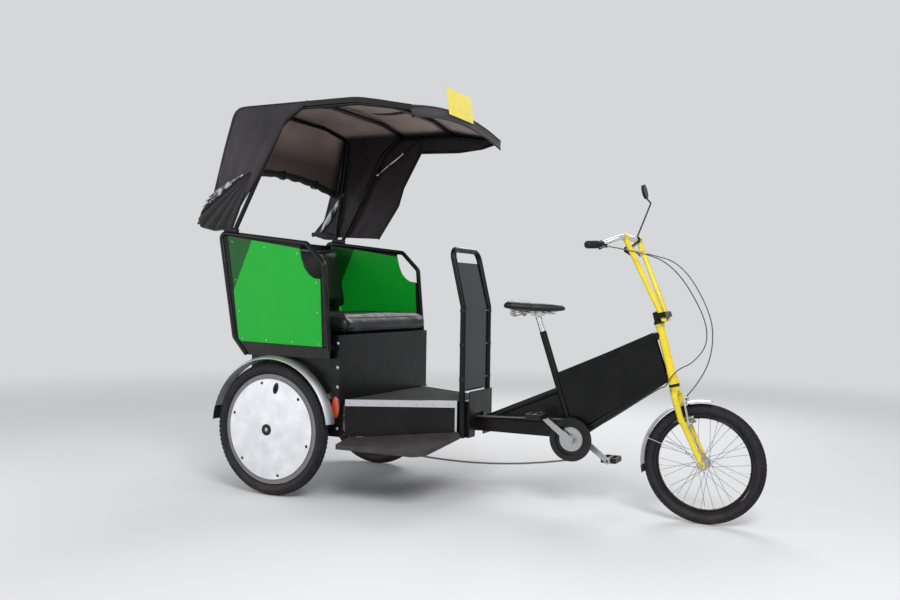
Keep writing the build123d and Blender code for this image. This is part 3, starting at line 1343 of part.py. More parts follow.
def front_mudflap():
    """Rubber flap at the lower end of the front guard."""
    after = FRONT_GUARD_END + math.degrees(GAP / FRONT_GUARD_R)
    band = guard_band(FRONT_GUARD_R + 0.5, FRONT_GUARD_WIDTH - 6, FRONT_GUARD_DROP - 2, 2.6, after, after + 7)
    return place_wheel(band, WHEELBASE, 0, FRONT_TYRE_R)


def cable(points):
    """Cable along straight runs, with the widest bend that fits at each corner."""
    spots = [Vector(*point) for point in points]
    bends = []
    for before, corner, after in zip(spots, spots[1:], spots[2:]):
        arriving = corner - before
        leaving = after - corner
        half_turn = math.radians(arriving.get_angle(leaving)) / 2
        bends.append(0.45 * min(arriving.length, leaving.length) / math.tan(half_turn))
    path = FilletPolyline(*spots, radius=bends)
    section = Plane(origin=path @ 0, z_dir=path % 0) * Circle(CABLE_R)
    return sweep(section, path=path)


def guard_band(crown_r, width, drop, wall, start, end):
    """Band crowned across, bent round the Y axis from one angle to another."""
    edge_r = crown_r - drop
    half = width / 2
    upper = ThreePointArc((edge_r, -half), (crown_r, 0), (edge_r, half))
    lower = ThreePointArc((edge_r - wall, half), (crown_r - wall, 0), (edge_r - wall, -half))
    left = Line((edge_r, half), (edge_r - wall, half))
    right = Line((edge_r - wall, -half), (edge_r, -half))
    profile = make_face(Wire([upper, left, lower, right]))
    return Rot(0, -start, 0) * revolve(profile, Axis.Y, start - end)


def roof_edge_z(x):
    """Height of the roof's side edge at a station."""
    spots = [(CABIN_REAR_X - 68, 0), (CABIN_FRONT_X + 116, -6), (CANOPY_FRONT_X, -64)]
    for (x0, z0), (x1, z1) in zip(spots, spots[1:]):
        if x <= x1:
            return ROOF_Z + z0 + (z1 - z0) * (x - x0) / (x1 - x0)
    return ROOF_Z + spots[-1][1]


def shoe_z(x):
    """Height of a bow's foot at a station, seated on the tube of the arm rest."""
    slope = math.atan(ARM_FALL / (ARM_FRONT_X - ARM_REAR_X))
    tube_z = ARM_Z - math.tan(slope) * (x - ARM_REAR_X)
    lift = math.sqrt((SIDE_TUBE_R + SHOE_R + GAP) ** 2 - (SHOE_Y - PANEL_Y) ** 2)
    return tube_z + lift / math.cos(slope)


def bow_across(x, radius, low_drop):
    """Points of a bow's upper part, arched to carry the cloth."""
    edge = roof_edge_z(x + radius)
    inner_y = CANOPY_HALF / 2
    swell = math.sqrt(ROOF_R**2 - inner_y**2) - math.sqrt(ROOF_R**2 - CANOPY_HALF**2)
    high = edge + swell - CANOPY_WALL - radius - 4 * GAP
    low = edge - low_drop
    return [at(x, -BOW_Y, low), at(x, -inner_y, high), at(x, inner_y, high), at(x, BOW_Y, low)]


def flap(outline):
    """Side flap of the canopy, hanging outside the bows on the left."""
    stretch = (ROOF_Z - ARM_Z) / FLAP_DRAWN_DROP
    points = [(CABIN_REAR_X + along, ROOF_Z + rise * stretch) for along, rise in outline]
    return plate_xz(points, CANOPY_HALF - CANOPY_WALL, CANOPY_HALF)


def brake_pivot_s():
    """Height of the brake arms' pivots along the steering axis."""
    return front_hub_in_steering()[1] + FRONT_BEAD_R - 30


def riser_ends(side):
    """Ends of one riser's axis: foot under the yoke and top under the bar."""
    foot = Vector(*steered(YOKE_F, side * RISER_FOOT_Y, YOKE_S - 18))
    top = Vector(*steered(BAR_F + 2, side * RISER_TOP_Y, BAR_S - BAR_R - 3))
    return foot, top


def front_cable():
    """Brake cable from the left lever, out ahead of the head tube and back to the front brake."""
    link_s = brake_pivot_s() + 106
    start = cable_start(1)
    return cable(
        [
            start,
            start - Vector(0, 18, 0),
            steered(-20, 165, BAR_S - 62),
            steered(135, 110, BAR_S - 150),
            steered(213, 62, BAR_S - 395),
            steered(190, 42, BAR_S - 540),
            steered(118, 32, link_s + 66),
            steered(BRAKE_F + 8, LEG_Y - 30, link_s + 5.5),
        ]
    )


# Where the rear brake's cable crosses from the steering to the rider's frame
CABLE_CROSSING = (45.0, -45.0, 60.0)


def rear_cable_front():
    """Rear brake cable from the right lever to beside the head tube."""
    f, y, s = CABLE_CROSSING
    start = cable_start(-1)
    return cable(
        [
            start,
            start + Vector(0, 18, 0),
            steered(-20, -165, BAR_S - 62),
            steered(135, -100, BAR_S - 150),
            steered(200, -26, BAR_S - 390),
            steered(180, 10, BAR_S - 520),
            steered(104, -30, s + 10),
            steered(f + GAP, y, s),
        ]
    )


def rear_cable():
    """Rear brake cable from the head tube under the down tube and along the beam to the rear axle."""
    reach = SEAT_TUBE_R + CABLE_R
    along = Vector(*steered(0, 0, 40)) - Vector(*at(CRANK_X, 0, CRANK_Z))
    down = Vector(along.Z, 0, -along.X).normalized()
    foot = Vector(*at(CRANK_X, 0, CRANK_Z))
    under = down * FRAME_TUBE_R + Vector(0, 13, 0)
    beam_y = BEAM_WIDTH / 2 + CABLE_R + GAP
    low_z = BEAM_TOP_Z - 25
    return cable(
        [
            steered(CABLE_CROSSING[0] - 2.0, CABLE_CROSSING[1] + 0.5, CABLE_CROSSING[2] - 1.4),
            steered(-6, -HEAD_FLARE_R - 10, 26),
            steered(-36, -14, -6),
            foot + along * 0.86 + under,
            foot + along * 0.19 + under + Vector(0, 4, 0),
            at(CRANK_X + 22, reach + 9, CRANK_Z + 34),
            at(CRANK_X - 36, beam_y, low_z + 2),
            at(BEAM_REAR_X - 130, beam_y, low_z),
            at(39, 12, REAR_TYRE_R + 34),
        ]
    )


def main():
    os.makedirs("parts", exist_ok=True)
    nodes = {
        "main_frame": main_frame(),
        "head_tube": head_tube(),
        "headset": headset(),
        "frame_panel": both(frame_panel()),
        "saddle": saddle(),
        "seat_post": seat_post(),
        "chain": chain(),
        "differential": differential(),
        "chassis": chassis(),
        "step_brackets": step_brackets(),
        "floor_pan": floor_pan(),
        "floor_trim": floor_trim(),
        "steps": both(step()),
        "seat_box": seat_box(),
        "seat_cushion": seat_cushion(),
        "back_cushion": back_cushion(),
        "back_panel": back_panel(),
        "side_panels": both(side_panel()),
        "side_frame_right": mirrored(side_frame()),
        "side_frame_left": side_frame(),
        "mudguard_right": mirrored(rear_mudguard()),
        "mudguard_left": rear_mudguard(),
        "mudflaps": both(mudflap()),
        "reflectors": both(reflector()),
        "rear_lamps": both(rear_lamp()),
        "canopy_frame": canopy_frame(),
        "canopy_cover": canopy_cover(),
        "sign_plate": sign_plate(),
        "grab_hoop": grab_hoop(),
        "hoop_panel": hoop_panel(),
        "fork": fork(),
        "front_axle": front_axle(),
        "stem": stem(),
        "risers": risers(),
        "handlebar": handlebar(),
        "grips": grips(),
        "brake_levers": brake_levers(),
        "mirror": mirror_on_bar(),
        "front_brake": front_brake(),
        "front_cable": front_cable(),
        "rear_cable_front": rear_cable_front(),
        "rear_cable": rear_cable(),
        "front_mudguard": front_mudguard(),
        "front_mudflap": front_mudflap(),
        "crankset": crankset(),
        "chainring": chainring(),
        "pedal_right": pedal(-1),
        "pedal_left": pedal(1),
    }
    nodes.update(front_wheel())
    for side, name in ((-1, "right"), (1, "left")):
        for piece, shape in rear_wheel(side).items():
            nodes[f"rear_{piece}_{name}"] = shape
    for name, shape in nodes.items():
        export_step(shape, f"parts/{name}.step")


if __name__ == "__main__":
    main()
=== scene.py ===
"""Pedal rickshaw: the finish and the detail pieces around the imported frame."""

import math

import bpy
import bmesh
from mathutils import Matrix, Vector
from mathutils import noise as field


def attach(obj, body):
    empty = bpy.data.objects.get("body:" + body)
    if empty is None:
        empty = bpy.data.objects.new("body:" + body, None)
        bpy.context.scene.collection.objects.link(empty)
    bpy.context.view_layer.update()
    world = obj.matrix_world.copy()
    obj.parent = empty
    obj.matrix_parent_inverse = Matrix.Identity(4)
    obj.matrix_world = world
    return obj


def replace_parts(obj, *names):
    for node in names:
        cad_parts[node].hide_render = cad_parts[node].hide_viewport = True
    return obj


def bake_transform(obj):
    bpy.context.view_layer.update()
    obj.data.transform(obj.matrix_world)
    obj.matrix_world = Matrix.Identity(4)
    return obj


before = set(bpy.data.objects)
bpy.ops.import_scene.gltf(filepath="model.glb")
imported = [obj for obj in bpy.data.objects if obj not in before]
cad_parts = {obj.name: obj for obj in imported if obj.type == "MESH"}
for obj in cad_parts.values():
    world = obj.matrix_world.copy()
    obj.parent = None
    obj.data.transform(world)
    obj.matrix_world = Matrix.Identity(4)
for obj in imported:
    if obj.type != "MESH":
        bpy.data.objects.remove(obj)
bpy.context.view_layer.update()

bl_info = {
    "name": "Pedal Rickshaw",
    "version": (1, 0, 0),
    "blender": (4, 5, 0),
    "location": "View3D > Sidebar > Rickshaw",
    "description": "Dresses the frame of a pedal rickshaw with cloth, rubber, paint and small parts",
    "category": "Object",
}

# Places that the pieces share, in metres, in the frame's own axes
REAR_X = -0.844
HEAD_FOOT = Vector((REAR_X + 1.769, 0.0, 0.584))
HEAD_LEAN = math.radians(14.5)
STEER_UP = Vector((-math.sin(HEAD_LEAN), 0.0, math.cos(HEAD_LEAN)))
STEER_FRONT = Vector((math.cos(HEAD_LEAN), 0.0, math.sin(HEAD_LEAN)))
AHEAD = Vector((1, 0, 0))
LEFT = Vector((0, 1, 0))
UP = Vector((0, 0, 1))
SIDES = (("right", -1), ("left", 1))


def at(x, y, z):
    """Point from millimetres, x counted forward from the rear axle."""
    return Vector((REAR_X + x / 1000, y / 1000, z / 1000))


def steered(f, y, s):
    """Point from millimetres along the steering axis and ahead of it."""
    return HEAD_FOOT + STEER_FRONT * (f / 1000) + STEER_UP * (s / 1000) + Vector((0, y / 1000, 0))


def shares(count):
    """Even steps from 0 to 1, both ends included."""
    return [k / count for k in range(count + 1)]


def circle(count):
    """Cosine and sine at even steps round a circle."""
    return [(math.cos(2 * math.pi * k / count), math.sin(2 * math.pi * k / count)) for k in range(count)]


def oval(centre, across, over, count, closed=False):
    """Points round an oval from its middle and two half axes; closed adds the first one again."""
    ring = [centre + across * c + over * s for c, s in circle(count)]
    return ring + ring[:1] if closed else ring


def wheelward(degrees):
    """Direction in the plane of a wheel."""
    turn = math.radians(degrees)
    return Vector((math.cos(turn), 0, math.sin(turn)))


def ripple(x, y, z):
    """Smooth noise between about -1 and 1."""
    return field.noise(Vector((x, y, z)))


# Meshes


def mesh_piece(name, points, faces, material, body=None, smooth=True):
    """New piece from points and faces, riding on one body."""
    mesh = bpy.data.meshes.new(name)
    mesh.from_pydata([tuple(p) for p in points], [], faces)
    mesh.validate()
    return dress(name, mesh, material, body, smooth)


def dress(name, mesh, material, body=None, smooth=True):
    """Piece from a mesh, in a finish given by its name or as a material."""
    piece = bpy.data.objects.new(name, mesh)
    mesh.name = name
    bpy.context.scene.collection.objects.link(piece)
    mesh.materials.clear()
    mesh.materials.append(skin(material) if isinstance(material, str) else material)
    for face in mesh.polygons:
        face.use_smooth = smooth
    if body:
        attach(piece, body)
    return piece


def baked(piece):
    """Plain mesh of a piece with its modifiers applied."""
    graph = bpy.context.evaluated_depsgraph_get()
    graph.update()
    return bpy.data.meshes.new_from_object(piece.evaluated_get(graph))


def grid_piece(name, rows, material, body=None, ring=False, closed=False, caps=False, smooth=True):
    """Surface through rows of points; ring joins each row's ends, closed joins the last row to the first."""
    high = len(rows)
    wide = len(rows[0])
    faces = []
    for i in range(high if closed else high - 1):
        for j in range(wide if ring else wide - 1):
            low = i * wide
            top = (i + 1) % high * wide
            after = (j + 1) % wide
            faces.append((low + j, low + after, top + after, top + j))
    if caps:
        faces.append(tuple(range(wide)))
        faces.append(tuple((high - 1) * wide + j for j in reversed(range(wide))))
    piece = mesh_piece(name, [p for row in rows for p in row], faces, material, body, smooth)
    recalculate(piece)
    return piece


def recalculate(piece):
    """Faces outward on a closed form, after doubles are merged."""
    work = bmesh.new()
    work.from_mesh(piece.data)
    bmesh.ops.remove_doubles(work, verts=work.verts, dist=0.00001)
    bmesh.ops.recalc_face_normals(work, faces=work.faces)
    work.to_mesh(piece.data)
    work.free()


def spun(name, outline, centre, material, body=None, steps=96, closed=True, smooth=True):
    """Outline of (radius, offset) pairs turned about a wheel's axis through centre."""
    rows = [[centre + Vector((r * c, y, r * s)) for r, y in outline] for c, s in circle(steps)]
    return grid_piece(name, rows, material, body, ring=closed, closed=True, smooth=smooth)


def stacked(name, centre, across, over, out, profile, material, body=None, count=40, caps=False):
    """Surface through ovals; each row is half width, half height and lift along out, in millimetres."""
    rows = []
    for wide, high, lift in profile:
        rows.append(oval(centre + out * (lift / 1000), across * (wide / 1000), over * (high / 1000), count))
    return grid_piece(name, rows, material, body, ring=True, caps=caps)


def hose(name, points, radius, material, body=None, sides=12, caps=True):
    """Round length along points; radius may be one number or one for each point."""
    radii = radius if isinstance(radius, (list, tuple)) else [radius] * len(points)
    rows = []
    for i, (p, r) in enumerate(zip(points, radii)):
        along = (points[min(i + 1, len(points) - 1)] - points[max(i - 1, 0)]).normalized()
        if i == 0:
            side = along.orthogonal().normalized()
        side = (side - along * side.dot(along)).normalized()
        over = along.cross(side)
        rows.append([p + (side * c + over * s) * r for c, s in circle(sides)])
    return grid_piece(name, rows, material, body, ring=True, caps=caps)


def pin(name, spot, way, profile, material, body=None, sides=12):
    """Small turned part: pairs of distance from spot along way and radius, in millimetres."""
    points = [spot + way * (d / 1000) for d, _ in profile]
    return hose(name, points, [r / 1000 for _, r in profile], material, body, sides=sides)


def stud(spot, facing, radius, height, material="steel", sides=14):
    """Domed screw or rivet head."""
    dome = ((-0.6, radius), (0.0, radius), (height * 0.55, radius * 0.9), (height * 0.9, radius * 0.55),
            (height, radius * 0.12))
    return pin("stud", spot, facing, dome, material, sides=sides)


# Section of a flat band in half widths and half thicknesses
BAND_SECTION = ((-1, -0.35), (-0.8, -1), (0.8, -1), (1, -0.35), (1, 0.35), (0.8, 1), (-0.8, 1), (-1, 0.35))


def strip(name, points, facings, width, thick, material, body=None):
    """Flat band along points; facings are the directions, or the one, that its broad side looks in."""
    if isinstance(facings, Vector):
        facings = [facings] * len(points)
    rows = []
    last = len(points) - 1
    for i, (p, facing) in enumerate(zip(points, facings)):
        along = (points[min(i + 1, last)] - points[max(i - 1, 0)]).normalized()
        across = along.cross(facing).normalized()
        out = across.cross(along).normalized()
        row = []
        for a, b in BAND_SECTION:
            row.append(p + across * (a * width / 2) + out * (b * thick / 2))
        rows.append(row)
    return grid_piece(name, rows, material, body, ring=True, caps=True)


def band(name, centre, across, over, width, thick, material, body=None):
    """Flat strap round an oval."""
    ring = oval(centre, across, over, 24, True)
    return strip(name, ring, [(p - centre).normalized() for p in ring], width, thick, material, body)


def smooth_curve(points, steps=8):
    """Points on a smooth spline drawn by Blender through a route's control points."""
    curve = bpy.data.curves.new("route", "CURVE")
    curve.dimensions = "3D"
    spline = curve.splines.new("NURBS")
    spline.points.add(len(points) - 1)
    for knot, p in zip(spline.points, points):
        knot.co = (*p, 1.0)
    spline.order_u = 3
    spline.use_endpoint_u = True
    spline.resolution_u = steps
    holder = bpy.data.objects.new("route", curve)
    bpy.context.scene.collection.objects.link(holder)
    mesh = baked(holder)
    found = [v.co.copy() for v in mesh.vertices]
    bpy.data.objects.remove(holder)
    bpy.data.curves.remove(curve)
    bpy.data.meshes.remove(mesh)
    return found


def between(curve, share):
    """Point at a share of the length of a run of points."""
    lengths = [0.0]
    for a, b in zip(curve, curve[1:]):
        lengths.append(lengths[-1] + (b - a).length)
    wanted = share * lengths[-1]
    for i in range(len(curve) - 1):
        if wanted <= lengths[i + 1] or i == len(curve) - 2:
            part = (wanted - lengths[i]) / max(lengths[i + 1] - lengths[i], 0.000001)
            return curve[i].lerp(curve[i + 1], min(max(part, 0.0), 1.0))


def joined(name, pieces, body=None):
    """One piece from several of one material."""
    work = bmesh.new()
    material = pieces[0].data.materials[0]
    smooth = pieces[0].data.polygons[0].use_smooth
    for piece in pieces:
        work.from_mesh(piece.data)
    mesh = bpy.data.meshes.new(name)
    work.to_mesh(mesh)
    work.free()
    for piece in pieces:
        bpy.data.objects.remove(piece)
    return dress(name, mesh, material, body, smooth)


# Nodes


def linear(hex_colour):
    """sRGB hex colour as linear values."""
    values = []
    for i in (0, 2, 4):
        c = int(hex_colour[i:i + 2], 16) / 255
        values.append(c / 12.92 if c <= 0.04045 else ((c + 0.055) / 1.055) ** 2.4)
    return (*values, 1.0)


class Nodes:
    """A node tree with short ways to fill it."""

    def __init__(self, tree):
        self.tree = tree

    def add(self, kind, inputs=None, **settings):
        """One node with its settings and inputs."""
        item = self.tree.nodes.new(kind)
        for key, value in settings.items():
            setattr(item, key, value)
        self.give(item, inputs or {})
        return item

    def give(self, item, inputs):
        """Fills a node's inputs with values, hex colours, sockets, or the first output of other nodes."""
        for key, value in inputs.items():
            if isinstance(value, bpy.types.Node):
                value = value.outputs[0]
            if isinstance(value, bpy.types.NodeSocket):
                self.tree.links.new(value, item.inputs[key])
            else:
                item.inputs[key].default_value = linear(value) if isinstance(value, str) else value

    def maths(self, operation, *values):
        return self.add("ShaderNodeMath", dict(enumerate(values)), operation=operation)

    def spread(self, value, low, high, out_low=0.0, out_high=1.0, **settings):
        """Maps a value's range to another range."""
        ends = {"From Min": low, "From Max": high, "To Min": out_low, "To Max": out_high}
        return self.add("ShaderNodeMapRange", {"Value": value, **ends}, **settings)

    def mix(self, factor, first, second):
        """Colour between two."""
        return self.add("ShaderNodeMix", {"Factor": factor, 6: first, 7: second}, data_type="RGBA").outputs[2]

    def rays(self, *kinds):
        """One for rays of the given kinds, else nothing."""
        path = self.add("ShaderNodeLightPath")
        found = path.outputs[kinds[0]]
        for kind in kinds[1:]:
            found = self.maths("MAXIMUM", found, path.outputs[kind])
        return found


def new_tree(name, sockets):
    """Geometry tree with named inputs; returns its nodes and the sockets that it is given."""
    nodes = Nodes(bpy.data.node_groups.new(name, "GeometryNodeTree"))
    face = nodes.tree.interface
    for label, kind in (("Geometry", "Geometry"), *sockets, ("Material", "Material")):
        face.new_socket(label, in_out="INPUT", socket_type="NodeSocket" + kind)
    face.new_socket("Geometry", in_out="OUTPUT", socket_type="NodeSocketGeometry")
    return nodes, nodes.add("NodeGroupInput").outputs


def close_tree(nodes, geometry, material):
    """Ends a geometry tree with real copies in one material."""
    real = nodes.add("GeometryNodeRealizeInstances", {"Geometry": geometry})
    painted = nodes.add("GeometryNodeSetMaterial", {"Geometry": real, "Material": material})
    nodes.add("NodeGroupOutput", {"Geometry": painted})
    return nodes.tree


def ring_tree():
    """Copies of the piece turned evenly about an axis along Y through a centre."""
    nodes, given = new_tree("Ring of copies", (("Copies", "Int"), ("Centre", "Vector"), ("Step", "Float")))
    moved = nodes.add("ShaderNodeVectorMath", {0: given["Centre"], "Scale": -1.0}, operation="SCALE")
    local = nodes.add("GeometryNodeTransform", {"Geometry": given["Geometry"], "Translation": moved})
    spots = nodes.add("GeometryNodePoints", {"Count": given["Copies"], "Position": given["Centre"]})
    angle = nodes.maths("MULTIPLY", nodes.add("GeometryNodeInputIndex"), given["Step"])
    turn = nodes.add("ShaderNodeCombineXYZ", {"Y": angle})
    copies = nodes.add("GeometryNodeInstanceOnPoints", {"Points": spots, "Instance": local, "Rotation": turn})
    return close_tree(nodes, copies, given["Material"])


def path_tree():
    """Copies of an item along the piece's own edge line, every second one from another item."""
    sockets = (("Copies", "Int"), ("Item", "Object"), ("Second item", "Object"))
    nodes, given = new_tree("Copies along a path", sockets)
    curve = nodes.add("GeometryNodeMeshToCurve", {"Mesh": given["Geometry"]})
    spaced = nodes.add("GeometryNodeResampleCurve", {"Curve": curve, "Count": given["Copies"]})
    spots = nodes.add("GeometryNodeCurveToPoints", {"Curve": spaced}, mode="EVALUATED")
    upright = nodes.add("FunctionNodeAlignRotationToVector", {"Vector": spots.outputs["Tangent"]},
                        axis="X", pivot_axis="Y")
    index = nodes.add("GeometryNodeInputIndex")
    half = nodes.add("FunctionNodeIntegerMath", {0: index, 1: 2}, operation="MODULO")
    both = nodes.add("GeometryNodeJoinGeometry")
    for number, label in enumerate(("Item", "Second item")):
        chosen = nodes.add("FunctionNodeCompare", {2: half, 3: number}, data_type="INT", operation="EQUAL")
        shape = nodes.add("GeometryNodeObjectInfo", {"Object": given[label]})
        copies = nodes.add("GeometryNodeInstanceOnPoints", {
            "Points": spots, "Selection": chosen, "Instance": shape.outputs["Geometry"], "Rotation": upright})
        nodes.give(both, {0: copies})
    return close_tree(nodes, both, given["Material"])


def grown(seed_piece, tree, values, material):
    """Plain mesh that a tree makes from a seed piece, which goes."""
    modifier = seed_piece.modifiers.new("Nodes", "NODES")
    modifier.node_group = tree
    keys = {s.name: s.identifier for s in tree.interface.items_tree if s.in_out == "INPUT"}
    for label, value in (*values.items(), ("Material", skin(material))):
        modifier[keys[label]] = value
    mesh = baked(seed_piece)
    bpy.data.objects.remove(seed_piece)
    return mesh


def ring_copies(name, seed_piece, copies, centre, material, body=None, smooth=True):
    """Copies of a seed piece set evenly round a wheel."""
    tree = bpy.data.node_groups.get("Ring of copies") or ring_tree()
    values = {"Copies": copies, "Centre": tuple(centre), "Step": 2 * math.pi / copies}
    return dress(name, grown(seed_piece, tree, values, material), material, body, smooth)


def path_copies(name, points, copies, item, second, material, body):
    """Two items laid by turns along a closed line."""
    tree = path_tree()
    mesh = bpy.data.meshes.new(name + "_line")
    edges = [(i, (i + 1) % len(points)) for i in range(len(points))]
    mesh.from_pydata([tuple(p) for p in points], edges, [])
    line = bpy.data.objects.new(name + "_line", mesh)
    bpy.context.scene.collection.objects.link(line)
    values = {"Copies": copies, "Item": item, "Second item": second}
    return dress(name, grown(line, tree, values, material), material, body, False)


# Materials


class Paint(Nodes):
    """A new material with short ways to its noise, dust and relief."""

    INPUTS = {
        "base": "Base Color", "rough": "Roughness", "metallic": "Metallic", "ior": "IOR",
        "shine": "Specular IOR Level", "coat": "Coat Weight", "coat_rough": "Coat Roughness",
        "sheen": "Sheen Weight", "sheen_rough": "Sheen Roughness",
    }

    def __init__(self, name):
        self.material = bpy.data.materials.new(name)
        self.material.use_nodes = True
        super().__init__(self.material.node_tree)
        self.surface = self.tree.nodes["Principled BSDF"]
        self.place = self.add("ShaderNodeTexCoord").outputs["Object"]

    def noise(self, size_mm, detail=3.0, stretch=(1, 1, 1)):
        """Noise whose patches measure about size_mm."""
        mapped = self.add("ShaderNodeMapping", {"Vector": self.place, "Scale": stretch})
        return self.add("ShaderNodeTexNoise", {"Vector": mapped, "Scale": 1000 / size_mm, "Detail": detail})

    def cells(self, size_mm, randomness=1.0, **settings):
        """Cells that measure about size_mm."""
        inputs = {"Vector": self.place, "Scale": 1000 / size_mm, "Randomness": randomness}
        return self.add("ShaderNodeTexVoronoi", inputs, **settings)

    def apart(self, vector=None):
        """The three numbers of a place."""
        return self.add("ShaderNodeSeparateXYZ", {"Vector": vector or self.place}).outputs

    def tones(self, source, low, high, first, second, most=1.0, least=0.0):
        """Colour that goes from first toward second as a source goes from low to high."""
        return self.mix(self.spread(source, low, high, least, most), first, second)

    def dust(self, base, dirt, amount, reach=0.42):
        """Road dust that fades out upward from the ground and lies in patches."""
        low = self.spread(self.apart()["Z"], 0.0, reach, amount, 0.0)
        patchy = self.spread(self.noise(60, 5.0), 0.35, 0.7, 0.15, 1.0)
        return self.mix(self.maths("MULTIPLY", low, patchy), base, dirt)

    def bump(self, height, depth_mm, strength, before=None):
        """Relief of the surface, on top of an earlier one if there is one."""
        inputs = {"Height": height, "Distance": depth_mm / 1000, "Strength": strength}
        if before:
            inputs["Normal"] = before
        item = self.add("ShaderNodeBump", inputs)
        self.give(self.surface, {"Normal": item})
        return item

    def finish(self, **values):
        """Gives the surface what is named and returns the material."""
        self.give(self.surface, {self.INPUTS[key]: value for key, value in values.items()})
        return self.material


def lighter(colour, gain, step):
    return (*[min(c * gain + step, 1.0) for c in linear(colour)[:3]], 1.0)


def powder_coat(name, colour, rough=0.28, peel=0.05, dusty=0.07, shine=0.5):
    """Powder coated steel: even colour, slight orange peel, dust low down."""
    paint = Paint(name)
    base = paint.tones(paint.noise(180, 2.0), 0.3, 0.7, colour, lighter(colour, 1.18, 0.004))
    wear = paint.spread(paint.noise(45, 4.0), 0.3, 0.75, rough - 0.06, rough + 0.16)
    paint.bump(paint.noise(2.5, 2.0), peel, 0.5)
    return paint.finish(base=paint.dust(base, "9A7A66", dusty), rough=wear, ior=1.45, shine=shine,
                        coat=0.06, coat_rough=0.12)


def metal(name, colour, rough=0.25, brush=(1, 1, 1), grain=0.02, mark_mm=3.0):
    """Bare metal with fine drawn marks."""
    paint = Paint(name)
    marks = paint.noise(mark_mm, 6.0 if mark_mm < 10 else 2.0, brush)
    tint = paint.tones(marks, 0.3, 0.7, colour, "8C8A86", 0.25)
    wear = paint.spread(marks, 0.25, 0.75, rough * 0.7, rough * 1.5)
    paint.bump(marks, grain, 0.4)
    return paint.finish(base=paint.dust(tint, "8F7767", 0.22), rough=wear, metallic=1.0)


def moulded(name, colour, rough=0.45, grain_mm=1.2, depth=0.05, dusty=0.08):
    """Injection moulded plastic with a fine spark-eroded grain."""
    paint = Paint(name)
    tone = paint.noise(70, 3.0)
    base = paint.tones(tone, 0.35, 0.7, colour, lighter(colour, 1.35, 0.006), 0.6)
    wear = paint.spread(tone, 0.3, 0.7, rough - 0.06, rough + 0.1)
    paint.bump(paint.noise(grain_mm, 2.0), depth, 0.5)
    return paint.finish(base=paint.dust(base, "9A7F6C", dusty), rough=wear, ior=1.5, shine=0.35)


def tyre_rubber(name):
    """Carbon black rubber: grey with dust on the sidewalls, its tone varying in patches."""
    paint = Paint(name)
    base = paint.tones(paint.noise(35, 5.0), 0.35, 0.7, "0E0D10", "262328", 0.75, 0.1)
    paint.bump(paint.noise(1.5, 3.0), 0.08, 0.5)
    return paint.finish(base=paint.dust(base, "6E594E", 0.28, 0.10), rough=0.66, ior=1.52, shine=0.32)


def leatherette(name, colour):
    """Calendered vinyl on foam: pebble grain of about 2.6 mm, soft sheen, scuffed lighter in patches."""
    paint = Paint(name)
    rub = paint.noise(120, 4.0)
    base = paint.tones(rub, 0.42, 0.72, colour, "1D1C1E", 0.5)
    paint.bump(paint.spread(paint.cells(2.6, feature="DISTANCE_TO_EDGE"), 0.0, 0.22), 0.25, 0.55)
    return paint.finish(base=base, rough=paint.spread(rub, 0.3, 0.7, 0.36, 0.52), ior=1.5, shine=0.35,
                        coat=0.08, coat_rough=0.35)


def coated_cloth(name, colour, faded, inner=None, thread_mm=2.2):
    """Coated polyester canvas: plain weave, faded along folds; inner is the colour of a paler lining."""
    paint = Paint(name)
    threads = paint.apart(paint.add("ShaderNodeUVMap"))
    rate = 2 * math.pi * 1000 / thread_mm
    weave = [paint.maths("SINE", paint.maths("MULTIPLY", threads[key], rate)) for key in "XY"]
    fade = paint.noise(260, 5.0)
    base = paint.tones(fade, 0.35, 0.7, colour, faded)
    if inner:
        lining = paint.tones(fade, 0.3, 0.7, inner, "86726C")
        place = paint.apart()
        # Painted shade: the lining is darker in the curtain below the roof and darkest at the sides
        lining = paint.mix(paint.spread(place["Z"], 1.66, 1.79, 1.0, 0.0), lining, "5A4A47")
        lining = paint.mix(paint.spread(paint.maths("ABSOLUTE", place["Y"]), 0.40, 0.46), lining, "2A2629")
        base = paint.mix(paint.add("ShaderNodeNewGeometry").outputs["Backfacing"], base, lining)
    drape = paint.bump(paint.noise(120, 2.0, (1.0, 0.35, 0.35)), 16.0, 0.8)
    crumple = paint.bump(paint.noise(22, 3.0), 1.6, 0.35, drape)
    paint.bump(paint.maths("MULTIPLY", *weave), 0.22, 0.5, crumple)
    return paint.finish(base=base, rough=0.62, shine=0.35, sheen=0.10, sheen_rough=0.45)


def grit_tape(name, colour):
    """Mineral grit bonded to a board: coarse 2 mm grains that glint."""
    paint = Paint(name)
    base = paint.tones(paint.noise(90, 4.0), 0.4, 0.7, colour, "3C3A3A", 0.65)
    paint.bump(paint.spread(paint.cells(2.0), 0.1, 0.55, 1.0, 0.0), 0.5, 0.8)
    return paint.finish(base=paint.dust(base, "8D7160", 0.15, 0.6), rough=0.7)


def prism_lens(name, colour, cell_mm=4.0):
    """Acrylic reflector: clear skin over moulded prisms."""
    paint = Paint(name)
    cells = paint.cells(cell_mm, 0.0)
    paint.bump(cells, 0.6, 0.6)
    return paint.finish(base=paint.tones(cells, 0.0, 0.6, colour, "7A1E08", 0.7), rough=0.14, ior=1.49,
                        coat=1.0, coat_rough=0.03)


def window_film(name):
    """Soft clear film in many layers: milky grey, glossy, darker in its creases as painted shade."""
    paint = Paint(name)
    layers = paint.noise(26, 5.0, (1, 1, 0.35))
    paint.bump(layers, 1.4, 0.5)
    return paint.finish(base=paint.tones(layers, 0.42, 0.62, "2B2C2F", "B4B8BC"), rough=0.16,
                        coat=0.6, coat_rough=0.06)


def silvered_glass(name):
    paint = Paint(name)
    smears = paint.spread(paint.noise(9, 2.0), 0.5, 0.8, 0.02, 0.09)
    return paint.finish(base="DDE2E6", metallic=1.0, rough=smears)


